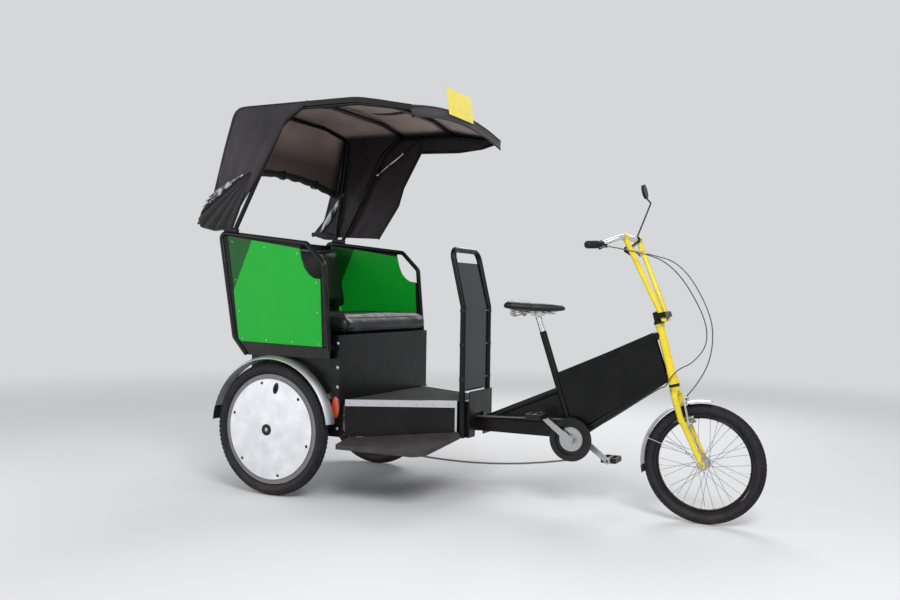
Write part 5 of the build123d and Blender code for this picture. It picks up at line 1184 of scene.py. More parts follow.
class RICKSHAW_OT_wheels(bpy.types.Operator):
    """Makes the tyres with their tread, the rims, spoke nipples, valves and cover screws"""
    bl_idname = "rickshaw.wheels"
    bl_label = "Wheels"

    def execute(self, context):
        depth = context.scene.rickshaw_finish.tread_depth * 1000
        for end, side, spot, tyre, rim, spoke_end, valve in WHEELS:
            body = f"{end}_wheel{side}"
            centre = at(*spot)
            self.tyre(f"{end}_tyre{side}", body, centre, depth, *tyre)
            self.rim(f"{end}_rim{side}", body, centre, *rim)
            self.nipples(f"{end}_nipples{side}", body, centre, spoke_end)
            self.valve(f"{end}_valve{side}", body, centre, *valve)
            if side:
                self.cover_trim(side, body, centre, -1 if spot[1] < 0 else 1)
        return {"FINISHED"}

    def tyre(self, name, body, centre, depth, outer, section, bead, copies):
        """Carcass with sidewall ribs, and its tread blocks set round it."""
        ring_r = outer - section
        rho = section - depth
        outline = []
        for a in range(-138, 139, 6):
            reach = rho + (1.2 if abs(a) in (84, 90, 126) else 0.0)
            turn = math.radians(a)
            outline.append((ring_r + reach * math.cos(turn), reach * math.sin(turn)))
        outline += [(bead + 0.6, 12.5), (bead + 0.6, -12.5)]
        carcass = spun("carcass", self.metres(outline), centre, "tyre", steps=144)
        points = []
        faces = []
        levels = (rho - 0.6, rho + depth)
        pitch = 2 * math.pi / copies
        for near, far, start, length, slant in TREAD:
            for row in ((-far, -near, start, slant), (near, far, start + 0.5, -slant)):
                base = len(points)
                points += self.block(centre, ring_r, levels, pitch, length, *row)
                for quad in ((0, 1, 5, 4), (1, 2, 6, 5), (2, 3, 7, 6), (3, 0, 4, 7), (4, 5, 6, 7)):
                    faces.append([base + q for q in quad])
        block = mesh_piece("block", points, faces, "tyre", smooth=False)
        tread = ring_copies("tread", block, copies, centre, "tyre", smooth=False)
        whole = joined(name + "_rubber", [carcass, tread], body)
        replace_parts(whole, name)

    def metres(self, outline, out=1):
        """Outline from millimetres, its offsets turned to the side out."""
        return [(r / 1000, out * y / 1000) for r, y in outline]

    def block(self, centre, ring_r, levels, pitch, length, low, high, start, slant):
        """Corners of one tread block with sloping flanks, on the curved crown."""
        points = []
        for level, inset in zip(levels, (0.0, 0.13)):
            for u, v in ((0, 0), (1, 0), (1, 1), (0, 1)):
                k = 1 - inset if u else inset
                m = 1 - inset if v else inset
                across = math.radians(low + (high - low) * k)
                along = pitch * (start + length * m + slant * (k - 0.5) * 2)
                r = ring_r + level * math.cos(across)
                spot = Vector((r * math.cos(along), level * math.sin(across), r * math.sin(along)))
                points.append(centre + spot / 1000)
        return points

    def rim(self, name, body, centre, bead, rim_depth, half, finish):
        """Box section rim with rolled lips and a machined braking face."""
        right = [(bead + r, half - y) for r, y in RIM_OUTER]
        right += [(bead - rim_depth + r, half - y) for r, y in RIM_INNER]
        left = [(r, -y) for r, y in reversed(right)]
        piece = spun(name + "_section", self.metres(right + left), centre, finish, body, steps=160)
        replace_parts(piece, name)

    def nipples(self, name, body, centre, radius):
        """Nipples where the spokes enter the rim."""
        seeds = []
        for side in (-1, 1):
            for k, lead in ((0, -58), (1, 58)):
                way = wheelward(20 * (k + side / 4) + lead)
                inner = centre + way * ((radius - 11) / 1000) + LEFT * (side * 0.0052)
                outer = centre + way * ((radius + 1) / 1000) + LEFT * (side * 0.0040)
                points = [inner, inner.lerp(outer, 0.72), outer]
                seeds.append(hose("nipple", points, [0.0017, 0.0021, 0.0028], "chrome", sides=8))
        ring_copies(name, joined("seed", seeds), 9, centre, "chrome", body)

    def valve(self, name, body, centre, radius, degrees):
        """Valve stem with a black cap, pointing at the hub."""
        inward = -wheelward(degrees)
        spot = centre - inward * (radius / 1000)
        stem = pin("stem", spot, inward, ((-3, 3.2), (20, 3.2)), "rubber", sides=14)
        cap = pin("cap", spot, inward, VALVE_CAP, "plastic", sides=14)
        joined(name, [stem, cap], body)

    def cover_trim(self, side, body, centre, out):
        """Rolled edge, six black screws, hub seal and a slot's lip on a wheel cover."""
        edge = [(233.8 + 1.8 * c, 17.6 + out * 1.6 * s) for c, s in circle(10)]
        spun("cover_edge" + side, self.metres(edge, out), centre, "cover", body, steps=160)
        for name, finish, steps, outline in COVER_RINGS:
            spun(name + side, self.metres(outline, out), centre, finish, body, steps=steps)
        spun("axle_nut" + side, self.metres(AXLE_NUT, out), centre, "steel", body, steps=6, closed=False,
             smooth=False)
        heads = []
        height = 17.3 + (234 - SCREW_CIRCLE) / COVER_REACH * COVER_RISE
        for k in range(6):
            spot = centre + wheelward(103 - 60 * k) * (SCREW_CIRCLE / 1000) + LEFT * (out * height / 1000)
            heads.append(spun("head", self.metres(SCREW_HEAD, out), spot, "plastic", steps=20, closed=False))
            heads.append(spun("washer", self.metres(SCREW_WASHER, out), spot, "plastic", steps=20))
        joined("cover_screws" + side, heads, body)
        # Oval rubber eye round the valve slot, lying on the cover's cone
        radial = wheelward(80)
        slope = math.atan(COVER_RISE / COVER_REACH)
        along = radial * math.cos(slope) - LEFT * (out * math.sin(slope))
        normal = LEFT * (out * math.cos(slope)) + radial * math.sin(slope)
        middle = centre + radial * 0.196 + LEFT * (out * 0.02203)
        stacked("cover_gasket" + side, middle, along, wheelward(170), normal, GASKET, "rubber", body)


# Chain: pitch, teeth and middles of ring and sprocket, how far right it runs and its lower run's radius, mm
CHAIN_PITCH = 12.7
RING_TEETH = 44
SPROCKET_TEETH = 20
RING_MIDDLE = Vector((1325.0, 315.0))
SPROCKET_MIDDLE = Vector((0.0, 311.0))
CHAIN_SIDE = -45.0
SAG_RADIUS = 2750.0
# Links: side of the plates' middle, radius of the pins and half their length, mm
OUTER_LINK = (3.2, 1.8, 4.0)
INNER_LINK = (2.05, 2.6, 1.5)


class RICKSHAW_OT_chain(bpy.types.Operator):
    """Makes the drive chain from outer and inner links laid round the ring and the sprocket"""
    bl_idname = "rickshaw.chain"
    bl_label = "Chain"

    def execute(self, context):
        line = self.loop()
        reach = sum((b - a).length for a, b in zip(line, line[1:] + line[:1]))
        count = 2 * round(reach * 1000 / CHAIN_PITCH / 2)
        outer = self.link(*OUTER_LINK)
        inner = self.link(*INNER_LINK)
        links = path_copies("chain_links", line, count, outer, inner, "chain", "frame")
        for item in (outer, inner):
            bpy.data.objects.remove(item)
        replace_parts(links, "chain")
        return {"FINISHED"}

    def loop(self):
        """Pitch line: round the ring, along the sagging run, round the sprocket and back on top."""
        ring_r = CHAIN_PITCH / (2 * math.sin(math.pi / RING_TEETH))
        sprocket_r = CHAIN_PITCH / (2 * math.sin(math.pi / SPROCKET_TEETH))
        span = RING_MIDDLE - SPROCKET_MIDDLE
        tilt = math.atan2(span.y, span.x)
        top = tilt + math.pi / 2 + math.asin((ring_r - sprocket_r) / span.length)
        to_ring = SAG_RADIUS - ring_r
        to_sprocket = SAG_RADIUS - sprocket_r
        along = (to_sprocket ** 2 - to_ring ** 2 + span.length ** 2) / (2 * span.length)
        height = math.sqrt(to_sprocket ** 2 - along ** 2)
        way = span.normalized()
        middle = SPROCKET_MIDDLE + way * along + Vector((-way.y, way.x)) * height
        ring_low, sprocket_low = [
            math.atan2(spot.y - middle.y, spot.x - middle.x) for spot in (RING_MIDDLE, SPROCKET_MIDDLE)]
        tooth = 2 * math.pi / RING_TEETH
        first = math.floor(top / tooth) * tooth
        arcs = (
            (RING_MIDDLE, ring_r, first, ring_low, 44),
            (middle, SAG_RADIUS, ring_low, sprocket_low, 60),
            (SPROCKET_MIDDLE, sprocket_r, sprocket_low, top - 2 * math.pi, 30),
            (RING_MIDDLE, ring_r, top, first, 2),
        )
        line = []
        for spot, radius, start, end, steps in arcs:
            for t in shares(steps)[:-1]:
                turn = start + (end - start) * t
                x = spot.x + radius * math.cos(turn)
                z = spot.y + radius * math.sin(turn)
                line.append(at(x, CHAIN_SIDE, z))
        return line

    def link(self, side, pin_r, pin_half):
        """Two waisted plates and two pins, lying along X."""
        half = CHAIN_PITCH / 2
        plate = []
        for middle, start, waist in ((half, -120, 2.9), (-half, 60, -2.9)):
            for k in range(7):
                turn = math.radians(start + 40 * k)
                plate.append((middle + 4.4 * math.cos(turn), 4.4 * math.sin(turn)))
            plate.append((0.0, waist))
        slabs = [(plate, side - 0.55, side + 0.55), (plate, -side - 0.55, -side + 0.55)]
        for middle in (half, -half):
            slabs.append(([(middle + pin_r * c, pin_r * s) for c, s in circle(8)], -pin_half, pin_half))
        parts = []
        for outline, low, high in slabs:
            rows = [[Vector((x, y, z)) / 1000 for x, z in outline] for y in (low, high)]
            parts.append(grid_piece("slab", rows, "chain", ring=True, caps=True, smooth=False))
        return joined("link", parts)


# Routes of the held cables, from the lever onward: forward, sideways and along the steering axis
LEVER_RIGHT = (1527.7, -224.4, 1166.4)
LEVER_LEFT = (1527.7, 224.4, 1166.4)
FRONT_ROUTE = (
    (-20, 165, 592.7), (135, 110, 504.7), (213, 62, 259.7), (190, 42, 114.7), (118, 32, -2.3),
    (35, 20, -62.8),
)
REAR_ROUTE = (
    (-20, -165, 592.7), (135, -100, 504.7), (200, -26, 264.7), (180, 10, 134.7), (104, -30, 70),
    (45.3, -45, 60), (-6, -34, 26), (-36, -14, -6),
)
REAR_ROUTE_LOW = (
    (1708.1, 13, 565.7), (1417.3, 17, 359.6), (1347, 27.5, 349), (1289, 24.8, 352), (210, 24.8, 350),
    (39, 12, 345),
)
ADJUSTER = ((-6, 4.2), (-1, 4.6), (0, 3.6), (9, 3.6), (10, 3.2), (15, 3.0))


class RICKSHAW_OT_cables(bpy.types.Operator):
    """Makes the two brake cables, their adjusters and clips"""
    bl_idname = "rickshaw.cables"
    bl_label = "Brake cables"

    def execute(self, context):
        self.cable("front_brake_cable", LEVER_LEFT, -18, FRONT_ROUTE, (), "steering", ["front_cable"])
        piece = self.cable("rear_brake_cable", LEVER_RIGHT, 18, REAR_ROUTE, REAR_ROUTE_LOW, None,
                           ["rear_cable_front", "rear_cable"])
        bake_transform(piece)
        for name, spot, side in (("right", LEVER_RIGHT, 1), ("left", LEVER_LEFT, -1)):
            pin("adjuster_" + name, at(*spot), LEFT * side, ADJUSTER, "chrome", "steering", sides=14)
        clips = []
        for x in (1180, 960, 740, 520):
            ring = []
            facings = []
            for t in shares(16):
                turn = math.radians(-100 + 200 * t)
                ring.append(at(x, 23 + 3.4 * math.cos(turn), 351 + 3.6 * math.sin(turn)))
                facings.append(Vector((0, math.cos(turn), math.sin(turn))))
            clips.append(strip("clip", ring, facings, 0.007, 0.0012, "plastic"))
        joined("cable_clips", clips, "frame")
        return {"FINISHED"}

    def cable(self, name, lever, lead, route, low_route, body, nodes):
        """Cable of 5 mm from a lever along its route."""
        x, y, z = lever
        points = [at(x, y, z), at(x, y + lead, z)]
        points += [steered(*spot) for spot in route]
        points += [at(*spot) for spot in low_route]
        piece = hose(name, smooth_curve(points, 14), 0.0025, "cable", body, sides=10)
        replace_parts(piece, *nodes)
        return piece


# Saddle: distance ahead of the post, half width, height of the section and its lift above the rails
SADDLE = (
    (-152, 34, 14, 16), (-150, 50, 24, 13), (-140, 68, 33, 10), (-118, 104, 43, 8), (-90, 112, 46, 5),
    (-40, 92, 46, 0), (0, 60, 42, -1), (40, 43, 39, 0), (84, 30, 33, 2), (118, 22, 25, 5), (127, 14, 15, 8),
)
SADDLE_FIT = 0.98
# Top of the seat post, and routes of one rail and one spring arm seen from it
POST_X = 1141.1
POST_Z = 882.0
RAIL = ((104, 8, 7), (60, 18, -2), (30, 20, -7), (-40, 20, -7), (-80, 22, 0), (-112, 34, 9))
SPRING_ARM = ((-60, 20, -9), (-80, 40, -20), (-96, 62, -24))
SEAT_CLAMP = ((-24, 3), (-23, 8), (-15, 9), (15, 9), (23, 8), (24, 3))


def on_post(x, y, z):
    return at(POST_X + x, y, POST_Z + z)


class RICKSHAW_OT_saddle(bpy.types.Operator):
    """Makes the rider's saddle with its padded cover, shell, rails and clamp"""
    bl_idname = "rickshaw.saddle"
    bl_label = "Saddle"

    def execute(self, context):
        rows = [self.section(t) for t in shares(48)]
        cover = grid_piece("saddle_cover", rows, "vinyl", "frame", ring=True, caps=True)
        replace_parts(cover, "saddle")
        parts = []
        for side in (-1, 1):
            rail = [on_post(x, side * y, z) for x, y, z in RAIL]
            parts.append(hose("rail", smooth_curve(rail), 0.0034, "steel", sides=10))
            spring = []
            for t in shares(72):
                turn = 2 * math.pi * 4 * t
                x = -96 + 13 * math.cos(turn)
                y = side * 62 + 13 * math.sin(turn)
                spring.append(on_post(x, y, -22 + 34 * t))
            parts.append(hose("spring", spring, 0.0022, "steel", sides=8))
            arm = [on_post(x, side * y, z) for x, y, z in SPRING_ARM]
            parts.append(hose("arm", smooth_curve(arm), 0.0030, "steel", sides=8))
        joined("saddle_rails", parts, "frame")
        pin("saddle_clamp", on_post(-2, 0, -9), LEFT, SEAT_CLAMP, "steel", "frame", sides=14)
        return {"FINISHED"}

    def section(self, share):
        """Ring of points across the saddle: soft crown with a groove, rolled edge, flat underside."""
        place = share * (len(SADDLE) - 1)
        i = min(int(place), len(SADDLE) - 2)
        t = place - i
        t = t * t * (3 - 2 * t)
        ahead, half, high, lift = [a + (b - a) * t for a, b in zip(SADDLE[i], SADDLE[i + 1])]
        groove = 3.2 if -110 < ahead < 70 else 0.64
        row = []
        for c, s in circle(32):
            y = math.copysign(half * SADDLE_FIT * abs(c) ** 0.8, c)
            if s >= 0:
                z = high * (0.45 + 0.55 * s ** 0.75) - groove * dent(y, 9) * s
            else:
                z = high * 0.45 * (1 - abs(s) ** 0.6)
            row.append(on_post(ahead, y, lift + z))
        return row


# Middle of the handlebar
BAR_X = 1575.1
BAR_Z = 1210.1
LEVER_PIN = ((-9.5, 2), (-9, 4.5), (9, 4.5), (9.5, 2))
LEVER_SCREW = ((14, 2.8), (18, 2.8), (19, 1.4))
CLAMP_BOLT = ((2, 3.4), (-1.5, 3.4), (-4.5, 3.4), (-5, 1.8))
# Front brake's turned parts: place ahead of the axis, out and along it, profile, sides
BRAKE_PINS = (
    ((38, 47, -174.3), ((0, 6.2), (3, 6.2), (6.5, 4.5), (7, 1)), 14),
    ((33, 39, -150.3), ((3, 5.5), (7, 5.5), (9.5, 2)), 6),
    ((33, 34, -70), ((3, 4.8), (7, 4.8), (8, 2)), 6),
)
BRAKE_SPRING = ((36, 50, -166), (37, 52, -120), (36, 44, -98))
MIRROR_GLASS = ((0.4, 0.4, 6.6), (10, 10, 6.4), (20, 20, 6.0), (29.8, 29.8, 5.3))
MIRROR_TILT = math.radians(78)


class RICKSHAW_OT_controls(bpy.types.Operator):
    """Makes the grips, the brake levers' pins and screws, mirror glass, clamp bolts and the front brake's
    small parts
    """
    bl_idname = "rickshaw.controls"
    bl_label = "Handlebar and brake details"

    def execute(self, context):
        bolts = []
        for name, side in SIDES:
            self.grip(name, side)
            lever = at(BAR_X - 55.4, side * 233.75, BAR_Z - 43.7)
            joined("lever_fittings_" + name, [
                pin("pin", lever + AHEAD * 0.012 - LEFT * (side * 0.014), UP, LEVER_PIN, "chrome"),
                pin("screw", lever - LEFT * (side * 0.004), AHEAD, LEVER_SCREW, "chrome", sides=6),
            ], "steering")
            for shift in (-7, 7):
                spot = at(BAR_X - 17.5, side * 110 + shift, BAR_Z - 3)
                bolts.append(pin("bolt", spot, AHEAD, CLAMP_BOLT, "chrome"))
        joined("clamp_bolts", bolts, "steering")
        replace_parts(bpy.data.objects["grip_right"], "grips")
        self.mirror()
        self.brake()
        return {"FINISHED"}

    def grip(self, name, side):
        """Rubber grip with rings, a flange at the inner end and a plug at the outer one."""
        inner = at(1499, side * 206, 1174)
        outer = at(1483, side * 338, 1166)
        radii = []
        for t in shares(96):
            r = 0.0148 + 0.0009 * math.sin(math.pi * t)
            if t < 0.035:
                r = 0.0178
            elif t > 0.965:
                r = 0.0170 - 0.006 * (t - 0.965) / 0.035
            elif 0.10 < t < 0.9:
                r += 0.0009 if math.sin(2 * math.pi * 19 * t) > 0.1 else 0.0
            radii.append(r)
        points = [inner.lerp(outer, t) for t in shares(96)]
        hose("grip_" + name, points, radii, "rubber", "steering", sides=24)

    def mirror(self):
        """Convex glass held by a rolled black rim."""
        centre = at(1591, 150, 1432)
        back = Vector((-math.sin(MIRROR_TILT), 0, -math.cos(MIRROR_TILT)))
        over = back.cross(LEFT)
        stacked("mirror_glass", centre, LEFT, over, back, MIRROR_GLASS, "glass", "steering", count=48)
        rim = oval(centre + back * 0.0052, LEFT * 0.0316, over * 0.0316, 64, True)
        hose("mirror_rim", rim, 0.0020, "plastic", "steering", sides=8, caps=False)

    def brake(self):
        """Rubber blocks, pivot bolts, return springs and boot of the front brake."""
        parts = []
        blocks = []
        for side in (-1, 1):
            for (f, y, s), profile, sides in BRAKE_PINS:
                parts.append(pin("bolt", steered(f, side * y, s), STEER_FRONT, profile, "steel", sides=sides))
            spring = [steered(f, side * y, s) for f, y, s in BRAKE_SPRING]
            parts.append(hose("spring", smooth_curve(spring), 0.0010, "steel", sides=6))
            for k in range(3):
                f = 7.5 + 15.5 * k
                rows = []
                for y in (19.2, 20.7):
                    corners = ((f, -155.6), (f + 13, -155.6), (f + 13, -145.0), (f, -145.0))
                    rows.append([steered(a, side * y, s) for a, s in corners])
                blocks.append(grid_piece("block", rows, "rubber", ring=True, caps=True, smooth=False))
        joined("front_brake_fittings", parts, "steering")
        joined("brake_blocks", blocks, "steering")
        boot = [steered(33, -10 + 24 * t, -72.3) for t in shares(30)]
        radii = [0.0036 + 0.0009 * math.sin(2 * math.pi * 5 * t) for t in shares(30)]
        hose("front_brake_boot", boot, radii, "rubber", "steering")


# Frame panel: corners of its outline, reaching over the tubes' sides, then its layers' inset and side
PANEL = ((1334, 345), (1245, 601), (1680, 803), (1744, 604))
PANEL_LAYERS = ((-1.2, 17.3), (0.0, 17.7), (0.0, 18.9), (-0.6, 19.3), (-2.0, 19.3))
RIVET_SPACING = 110
# Side panel: outline with its notch drawn out
SIDE_PANEL = (
    (-304, 1226.6), (-270, 1012), (-228, 727), (-213, 713.6), (263, 701.6), (247, 1017.3), (212, 1021),
    (184, 1038), (159, 1065.3), (141, 1106), (127, 1159.6),
)
# Seal between the panel and the tube round it: pairs of spots on the panel's edge and on the tube's middle
SIDE_SEALS = (
    (((262, 704), (298, 704)), ((255, 860), (283, 862)), ((246, 1016), (268.5, 1018))),
    (((128, 1158), (131, 1184)), ((-88, 1192), (-86, 1209.8)), ((-303, 1225), (-343, 1239.5)),
     ((-269, 1012), (-303, 1012)), ((-249, 870), (-277, 870)), ((-227, 728), (-251, 735)),
     ((-212, 714), (-230, 711))),
)
PANEL_SCREWS = (
    (-274, 1196), (-249, 1010), (-226, 860), (-200, 730), (-60, 724), (90, 720), (240, 716), (232, 860),
    (222, 1000), (112, 1134), (-80, 1166),
)
# Reflector and lamp: half sizes of each layer and its lift
LENS = ((1.0, 0.3), (1.0, 3.4), (0.97, 5.2), (0.86, 6.8), (0.62, 7.8), (0.3, 8.3), (0.02, 8.4))
LAMP_DOME = ((29.6, -0.4), (29.4, 0.8), (27.4, 2.9), (22.0, 4.6), (13.0, 5.8), (0.4, 6.3))
# Tapered floor: station and half width of its rear end, its length and how much narrower its front is
FLOOR_X = 347
FLOOR_HALF = 385
FLOOR_LENGTH = 463
FLOOR_TAPER = 229
BOX_BOLTS = ((326, 722), (326, 610), (326, 520), (326, 330), (300, 352))


def grown_outline(corners, step):
    """Closed outline moved outward by step, corners kept sharp."""
    spots = [Vector(c) for c in corners]
    middle = sum(spots, Vector((0, 0))) / len(spots)
    found = []
    for i, spot in enumerate(spots):
        before = (spot - spots[i - 1]).normalized()
        after = (spots[(i + 1) % len(spots)] - spot).normalized()
        bisector = (before - after).normalized()
        if bisector.dot(spot - middle) < 0:
            bisector = -bisector
        half = max(math.sin(before.angle(-after) / 2), 0.2)
        found.append(spot + bisector * step / half)
    return found


class RICKSHAW_OT_fittings(bpy.types.Operator):
    """Makes the screws, rivets, edgings, lenses, clips and the floor mat"""
    bl_idname = "rickshaw.fittings"
    bl_label = "Fittings"

    def execute(self, context):
        self.frame_panels()
        self.side_panels()
        self.reflectors()
        self.lamps()
        self.floor()
        self.clips()
        self.box_bolts()
        return {"FINISHED"}

    def frame_panels(self):
        """Plates on both sides of the frame's triangle, with rivets along their edges."""
        plates = []
        rivets = []
        inner = grown_outline(PANEL, -9)
        for side in (-1, 1):
            rows = []
            for step, y in PANEL_LAYERS:
                spots = grown_outline(PANEL, step)
                row = []
                for a, b in zip(spots, spots[1:] + spots[:1]):
                    row += [a.lerp(b, k / 12) for k in range(12)]
                rows.append([at(spot.x, side * y, spot.y) for spot in row])
            plates.append(grid_piece("plate", rows, "panel", ring=True, caps=True))
            for a, b in zip(inner, inner[1:] + inner[:1]):
                count = max(int((b - a).length / RIVET_SPACING), 1)
                for k in range(count):
                    spot = a.lerp(b, k / count)
                    rivets.append(stud(at(spot.x, side * 19.3, spot.y), LEFT * side, 3.4, 1.5, "plastic"))
        plate = joined("frame_panels", plates, "frame")
        for face in plate.data.polygons:
            face.use_smooth = False
        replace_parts(plate, "frame_panel")
        joined("frame_panel_rivets", rivets, "frame")

    def side_panels(self):
        """Boards of the body's sides with seals, edging and screws."""
        boards = []
        seals = []
        edges = []
        screws = []
        for side in (-1, 1):
            rows = [[at(x, side * y, z) for x, z in SIDE_PANEL] for y in (448, 452.2)]
            boards.append(grid_piece("board", rows, "green", ring=True, caps=True, smooth=False))
            for pairs in SIDE_SEALS:
                rows = []
                for (x0, z0), (x1, z1) in pairs:
                    rows.append([at(x, side * y, z) for x, y, z in (
                        (x0, 448.6, z0), (x0, 451.6, z0), (x1, 451.6, z1), (x1, 448.6, z1))])
                seals.append(grid_piece("seal", rows, "rubber", ring=True, caps=True, smooth=False))
            line = [at(x, side * 452.4, z) for x, z in SIDE_PANEL]
            for a, b in zip(line, line[1:] + line[:1]):
                edges.append(hose("edge", [a, b], 0.0017, "rubber", sides=8))
            for x, z in PANEL_SCREWS:
                screws.append(stud(at(x, side * 452.0, z), LEFT * side, 3.6, 1.8))
        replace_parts(joined("side_boards", boards, "frame"), "side_panels")
        joined("side_panel_seals", seals, "frame")
        joined("side_panel_edging", edges, "frame")
        joined("side_panel_screws", screws, "frame")

    def reflectors(self):
        """Tall oval lenses in rubber frames on the seat box's front legs."""
        lenses = []
        frames = []
        for side in (-1, 1):
            profile = [(20 * share, 50 * share, lift) for share, lift in LENS]
            middle = at(320, side * 420.2, 428)
            lenses.append(stacked("lens", middle, AHEAD, UP, LEFT * side, profile, "orange", caps=True))
            ring = oval(at(320, side * 422.6, 428), AHEAD * 0.0213, UP * 0.0513, 48, True)
            frames.append(hose("frame", ring, 0.0022, "rubber", sides=8, caps=False))
        lens = joined("reflector_lenses", lenses, "frame")
        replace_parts(lens, "reflectors")
        joined("reflector_frames", frames, "frame")

    def lamps(self):
        """Domed end and rubber ring on each rear lamp."""
        back = Vector((-1, 0, -BACK_LEAN)).normalized()
        rise = Vector((-BACK_LEAN, 0, 1)).normalized()
        domes = []
        rings = []
        for y in (-330, 330):
            middle = at(-246.3, y, 757.9)
            profile = [(r, r, lift) for r, lift in LAMP_DOME]
            domes.append(stacked("dome", middle, LEFT, rise, back, profile, "red"))
            ring = oval(middle - back * 0.004, LEFT * 0.0309, rise * 0.0309, 48, True)
            rings.append(hose("ring", ring, 0.0026, "rubber", sides=8, caps=False))
        joined("rear_lamp_domes", domes, "frame")
        joined("rear_lamp_rings", rings, "frame")

    def floor(self):
        """Ribbed rubber mat on the floor, and the screws of its bright edging."""
        rows = []
        for i in range(45):
            for shift, z in ((0.0, 460.5), (1.2, 462.8), (5.6, 462.8), (6.8, 460.9)):
                x = FLOOR_X + 7 + 10.2 * i + shift
                half = FLOOR_HALF - 20 - (x - FLOOR_X) * FLOOR_TAPER / FLOOR_LENGTH
                rows.append([at(x, half * (2 * t - 1), z) for t in shares(12)])
        grid_piece("floor_mat", rows, "mat", "frame", smooth=False)
        screws = []
        for side in (-1, 1):
            run = Vector((FLOOR_LENGTH, -FLOOR_TAPER * side, 0)).normalized()
            out = Vector((0.443, 0.896 * side, 0))
            start = Vector((FLOOR_X, FLOOR_HALF * side, 0)) + out * 2.3
            for k in range(7):
                spot = start + run * (24 + 76 * k)
                screws.append(stud(at(spot.x, spot.y, 447), out, 4.2, 2.0))
        joined("floor_trim_screws", screws, "frame")

    def clips(self):
        """Saddle clips of the panel between the hoop's uprights, and the sign's straps and screws."""
        clips = []
        screws = []
        for side in (-1, 1):
            for z in (560, 720, 880):
                middle = at(828, side * 140, z)
                clips.append(band("clip", middle, AHEAD * 0.0148, LEFT * 0.0148, 0.016, 0.0014, "plastic"))
                for x, way in ((830.2, AHEAD), (825.8, -AHEAD)):
                    screws.append(stud(at(x, side * 118, z), way, 4.0, 2.0))
        joined("hoop_clips", clips, "frame")
        joined("hoop_panel_screws", screws, "frame")
        straps = []
        screws = []
        for y in (-86, 86):
            low = at(733.4, y, 1799)
            high = at(725.6, y, 1851)
            straps.append(strip("strap", [low, low.lerp(high, 0.5), high], -AHEAD, 0.018, 0.0022, "plastic"))
            for z in (1808, 1840):
                x = 729.1 + (1859.3 - z) * math.tan(math.radians(8))
                screws.append(stud(at(x, y, z), Vector((0.99, 0, 0.139)), 3.6, 1.8))
        joined("sign_straps", straps, "frame")
        joined("sign_screws", screws, "frame")

    def box_bolts(self):
        """Bolts with washers along the seat box's front legs and the sills."""
        bolts = []
        for side in (-1, 1):
            for x, z in BOX_BOLTS:
                bolts.append(stud(at(x, side * 420, z), LEFT * side, 8.0, 1.2, sides=20))
                bolts.append(stud(at(x, side * 420.9, z), LEFT * side, 5.2, 3.8, sides=6))
        joined("seat_box_bolts", bolts, "frame")


# Background's colour, how bright it looks and how bright it lights
PALE = (0.93, 0.945, 0.97, 1.0)
PALE_LEVEL = 0.72
PALE_LIGHT = 0.42
# Half size of the floor and where it fades into the background, in metres
FLOOR_SIZE = 40.0
FADE_START = 2.4
FADE_END = 8.0
# Lamps: name, place in metres, size in metres, power in watts; all look at one spot
LAMPS = (
    ("key", (2.6, -3.4, 3.6), 2.0, 165),
    ("fill", (-3.2, -3.0, 1.6), 2.8, 45),
    ("back", (-0.5, 3.6, 3.4), 2.6, 90),
)
LAMP_AIM = Vector((0, 0, 0.8))
# Camera fitted to the photo: place in metres, turns in radians, focal length and width in pixels
EYE = (1.7998, -3.8897, 0.9498)
YAW = 0.466
PITCH = 0.0051
ROLL = -0.0148
FOCAL = 901.98
PHOTO_WIDTH = 900
SENSOR = 36.0


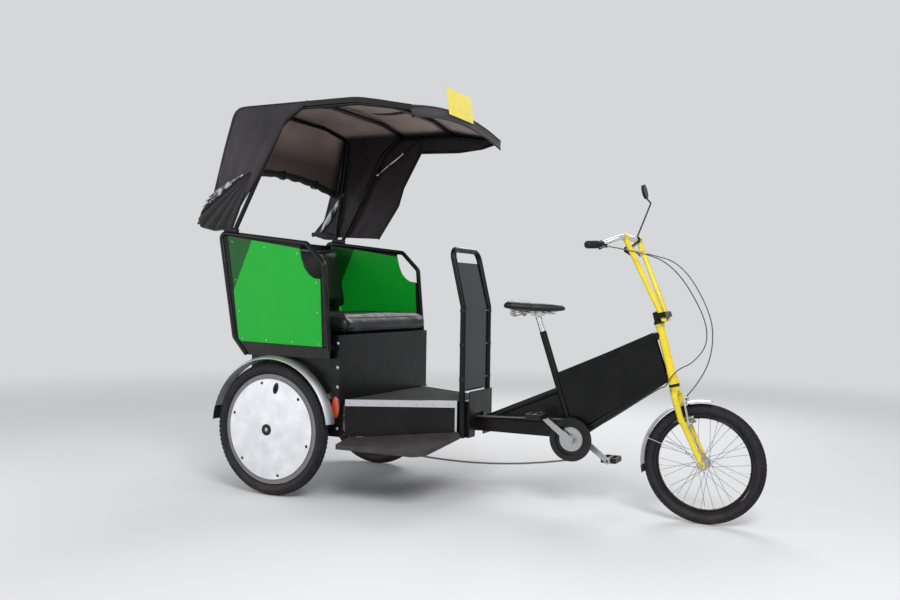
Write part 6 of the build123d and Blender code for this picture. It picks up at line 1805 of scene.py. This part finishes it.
class RICKSHAW_OT_stage(bpy.types.Operator):
    """Sets up the floor, the lamps and the camera"""
    bl_idname = "rickshaw.stage"
    bl_label = "Studio"

    def execute(self, context):
        scene = context.scene
        scene.view_settings.view_transform = "Standard"
        self.floor((*scene.rickshaw_finish.floor_colour, 1.0))
        world = bpy.data.worlds.new("Studio light")
        scene.world = world
        world.use_nodes = True
        sky = Nodes(world.node_tree)
        seen = sky.rays("Is Camera Ray", "Is Glossy Ray", "Is Transmission Ray")
        sky.give(sky.tree.nodes["Background"],
                 {"Color": PALE, "Strength": sky.spread(seen, 0.0, 1.0, PALE_LIGHT, PALE_LEVEL)})
        for name, place, wide, power in LAMPS:
            light = bpy.data.lights.new(name, "AREA")
            light.size = wide
            light.energy = power
            lamp = bpy.data.objects.new(name, light)
            lamp.location = place
            lamp.rotation_euler = (LAMP_AIM - Vector(place)).to_track_quat("-Z", "Y").to_euler()
            scene.collection.objects.link(lamp)
        self.camera(scene)
        return {"FINISHED"}

    def floor(self, colour):
        """Matt floor whose far part takes the background's colour, so that no edge shows."""
        paint = Paint("Studio floor, matt paint")
        size = FLOOR_SIZE
        corners = [(-size, -size, 0), (size, -size, 0), (size, size, 0), (-size, size, 0)]
        material = paint.finish(base=colour, rough=0.85)
        floor = mesh_piece("studio_floor", corners, [(0, 1, 2, 3)], material, None, smooth=False)
        distance = paint.add("ShaderNodeVectorMath", {0: paint.place}, operation="LENGTH").outputs["Value"]
        far = paint.spread(distance, FADE_START, FADE_END, interpolation_type="SMOOTHSTEP")
        factor = paint.maths("MULTIPLY", far, paint.rays("Is Camera Ray", "Is Glossy Ray"))
        glow = paint.add("ShaderNodeEmission", {"Color": PALE, "Strength": PALE_LEVEL})
        blend = paint.add("ShaderNodeMixShader", {0: factor, 1: paint.surface, 2: glow})
        paint.give(paint.tree.nodes["Material Output"], {"Surface": blend})

    def camera(self, scene):
        """Camera that sees what the photo's camera saw."""
        ahead = Vector((-math.sin(YAW) * math.cos(PITCH), math.cos(YAW) * math.cos(PITCH), -math.sin(PITCH)))
        right = Vector((math.cos(YAW), math.sin(YAW), 0.0))
        up = right.cross(ahead)
        level = right * math.cos(ROLL) - up * math.sin(ROLL)
        upright = up * math.cos(ROLL) + right * math.sin(ROLL)
        view = bpy.data.cameras.new("view")
        view.sensor_width = SENSOR
        view.lens = FOCAL / PHOTO_WIDTH * SENSOR
        view.clip_start = 0.05
        eye = bpy.data.objects.new("view", view)
        turn = Matrix((level, upright, -ahead)).transposed()
        eye.matrix_world = Matrix.Translation(EYE) @ turn.to_4x4()
        scene.collection.objects.link(eye)
        scene.camera = eye


class RICKSHAW_PT_panel(bpy.types.Panel):
    """Lists the pieces in the sidebar"""
    bl_label = "Rickshaw"
    bl_idname = "RICKSHAW_PT_panel"
    bl_space_type = "VIEW_3D"
    bl_region_type = "UI"
    bl_category = "Rickshaw"

    def draw(self, context):
        for step in STEPS:
            self.layout.operator(step.bl_idname)


STEPS = (
    RICKSHAW_OT_finish,
    RICKSHAW_OT_cushions,
    RICKSHAW_OT_canopy,
    RICKSHAW_OT_wheels,
    RICKSHAW_OT_chain,
    RICKSHAW_OT_cables,
    RICKSHAW_OT_saddle,
    RICKSHAW_OT_controls,
    RICKSHAW_OT_fittings,
    RICKSHAW_OT_stage,
)
CLASSES = (RickshawFinish, *STEPS, RICKSHAW_PT_panel)


def register():
    for item in CLASSES:
        bpy.utils.register_class(item)
    bpy.types.Scene.rickshaw_finish = bpy.props.PointerProperty(type=RickshawFinish)


def unregister():
    del bpy.types.Scene.rickshaw_finish
    for item in reversed(CLASSES):
        bpy.utils.unregister_class(item)


def main():
    register()
    for step in STEPS:
        group, name = step.bl_idname.split(".")
        getattr(getattr(bpy.ops, group), name)()


if __name__ == "__main__":
    main()
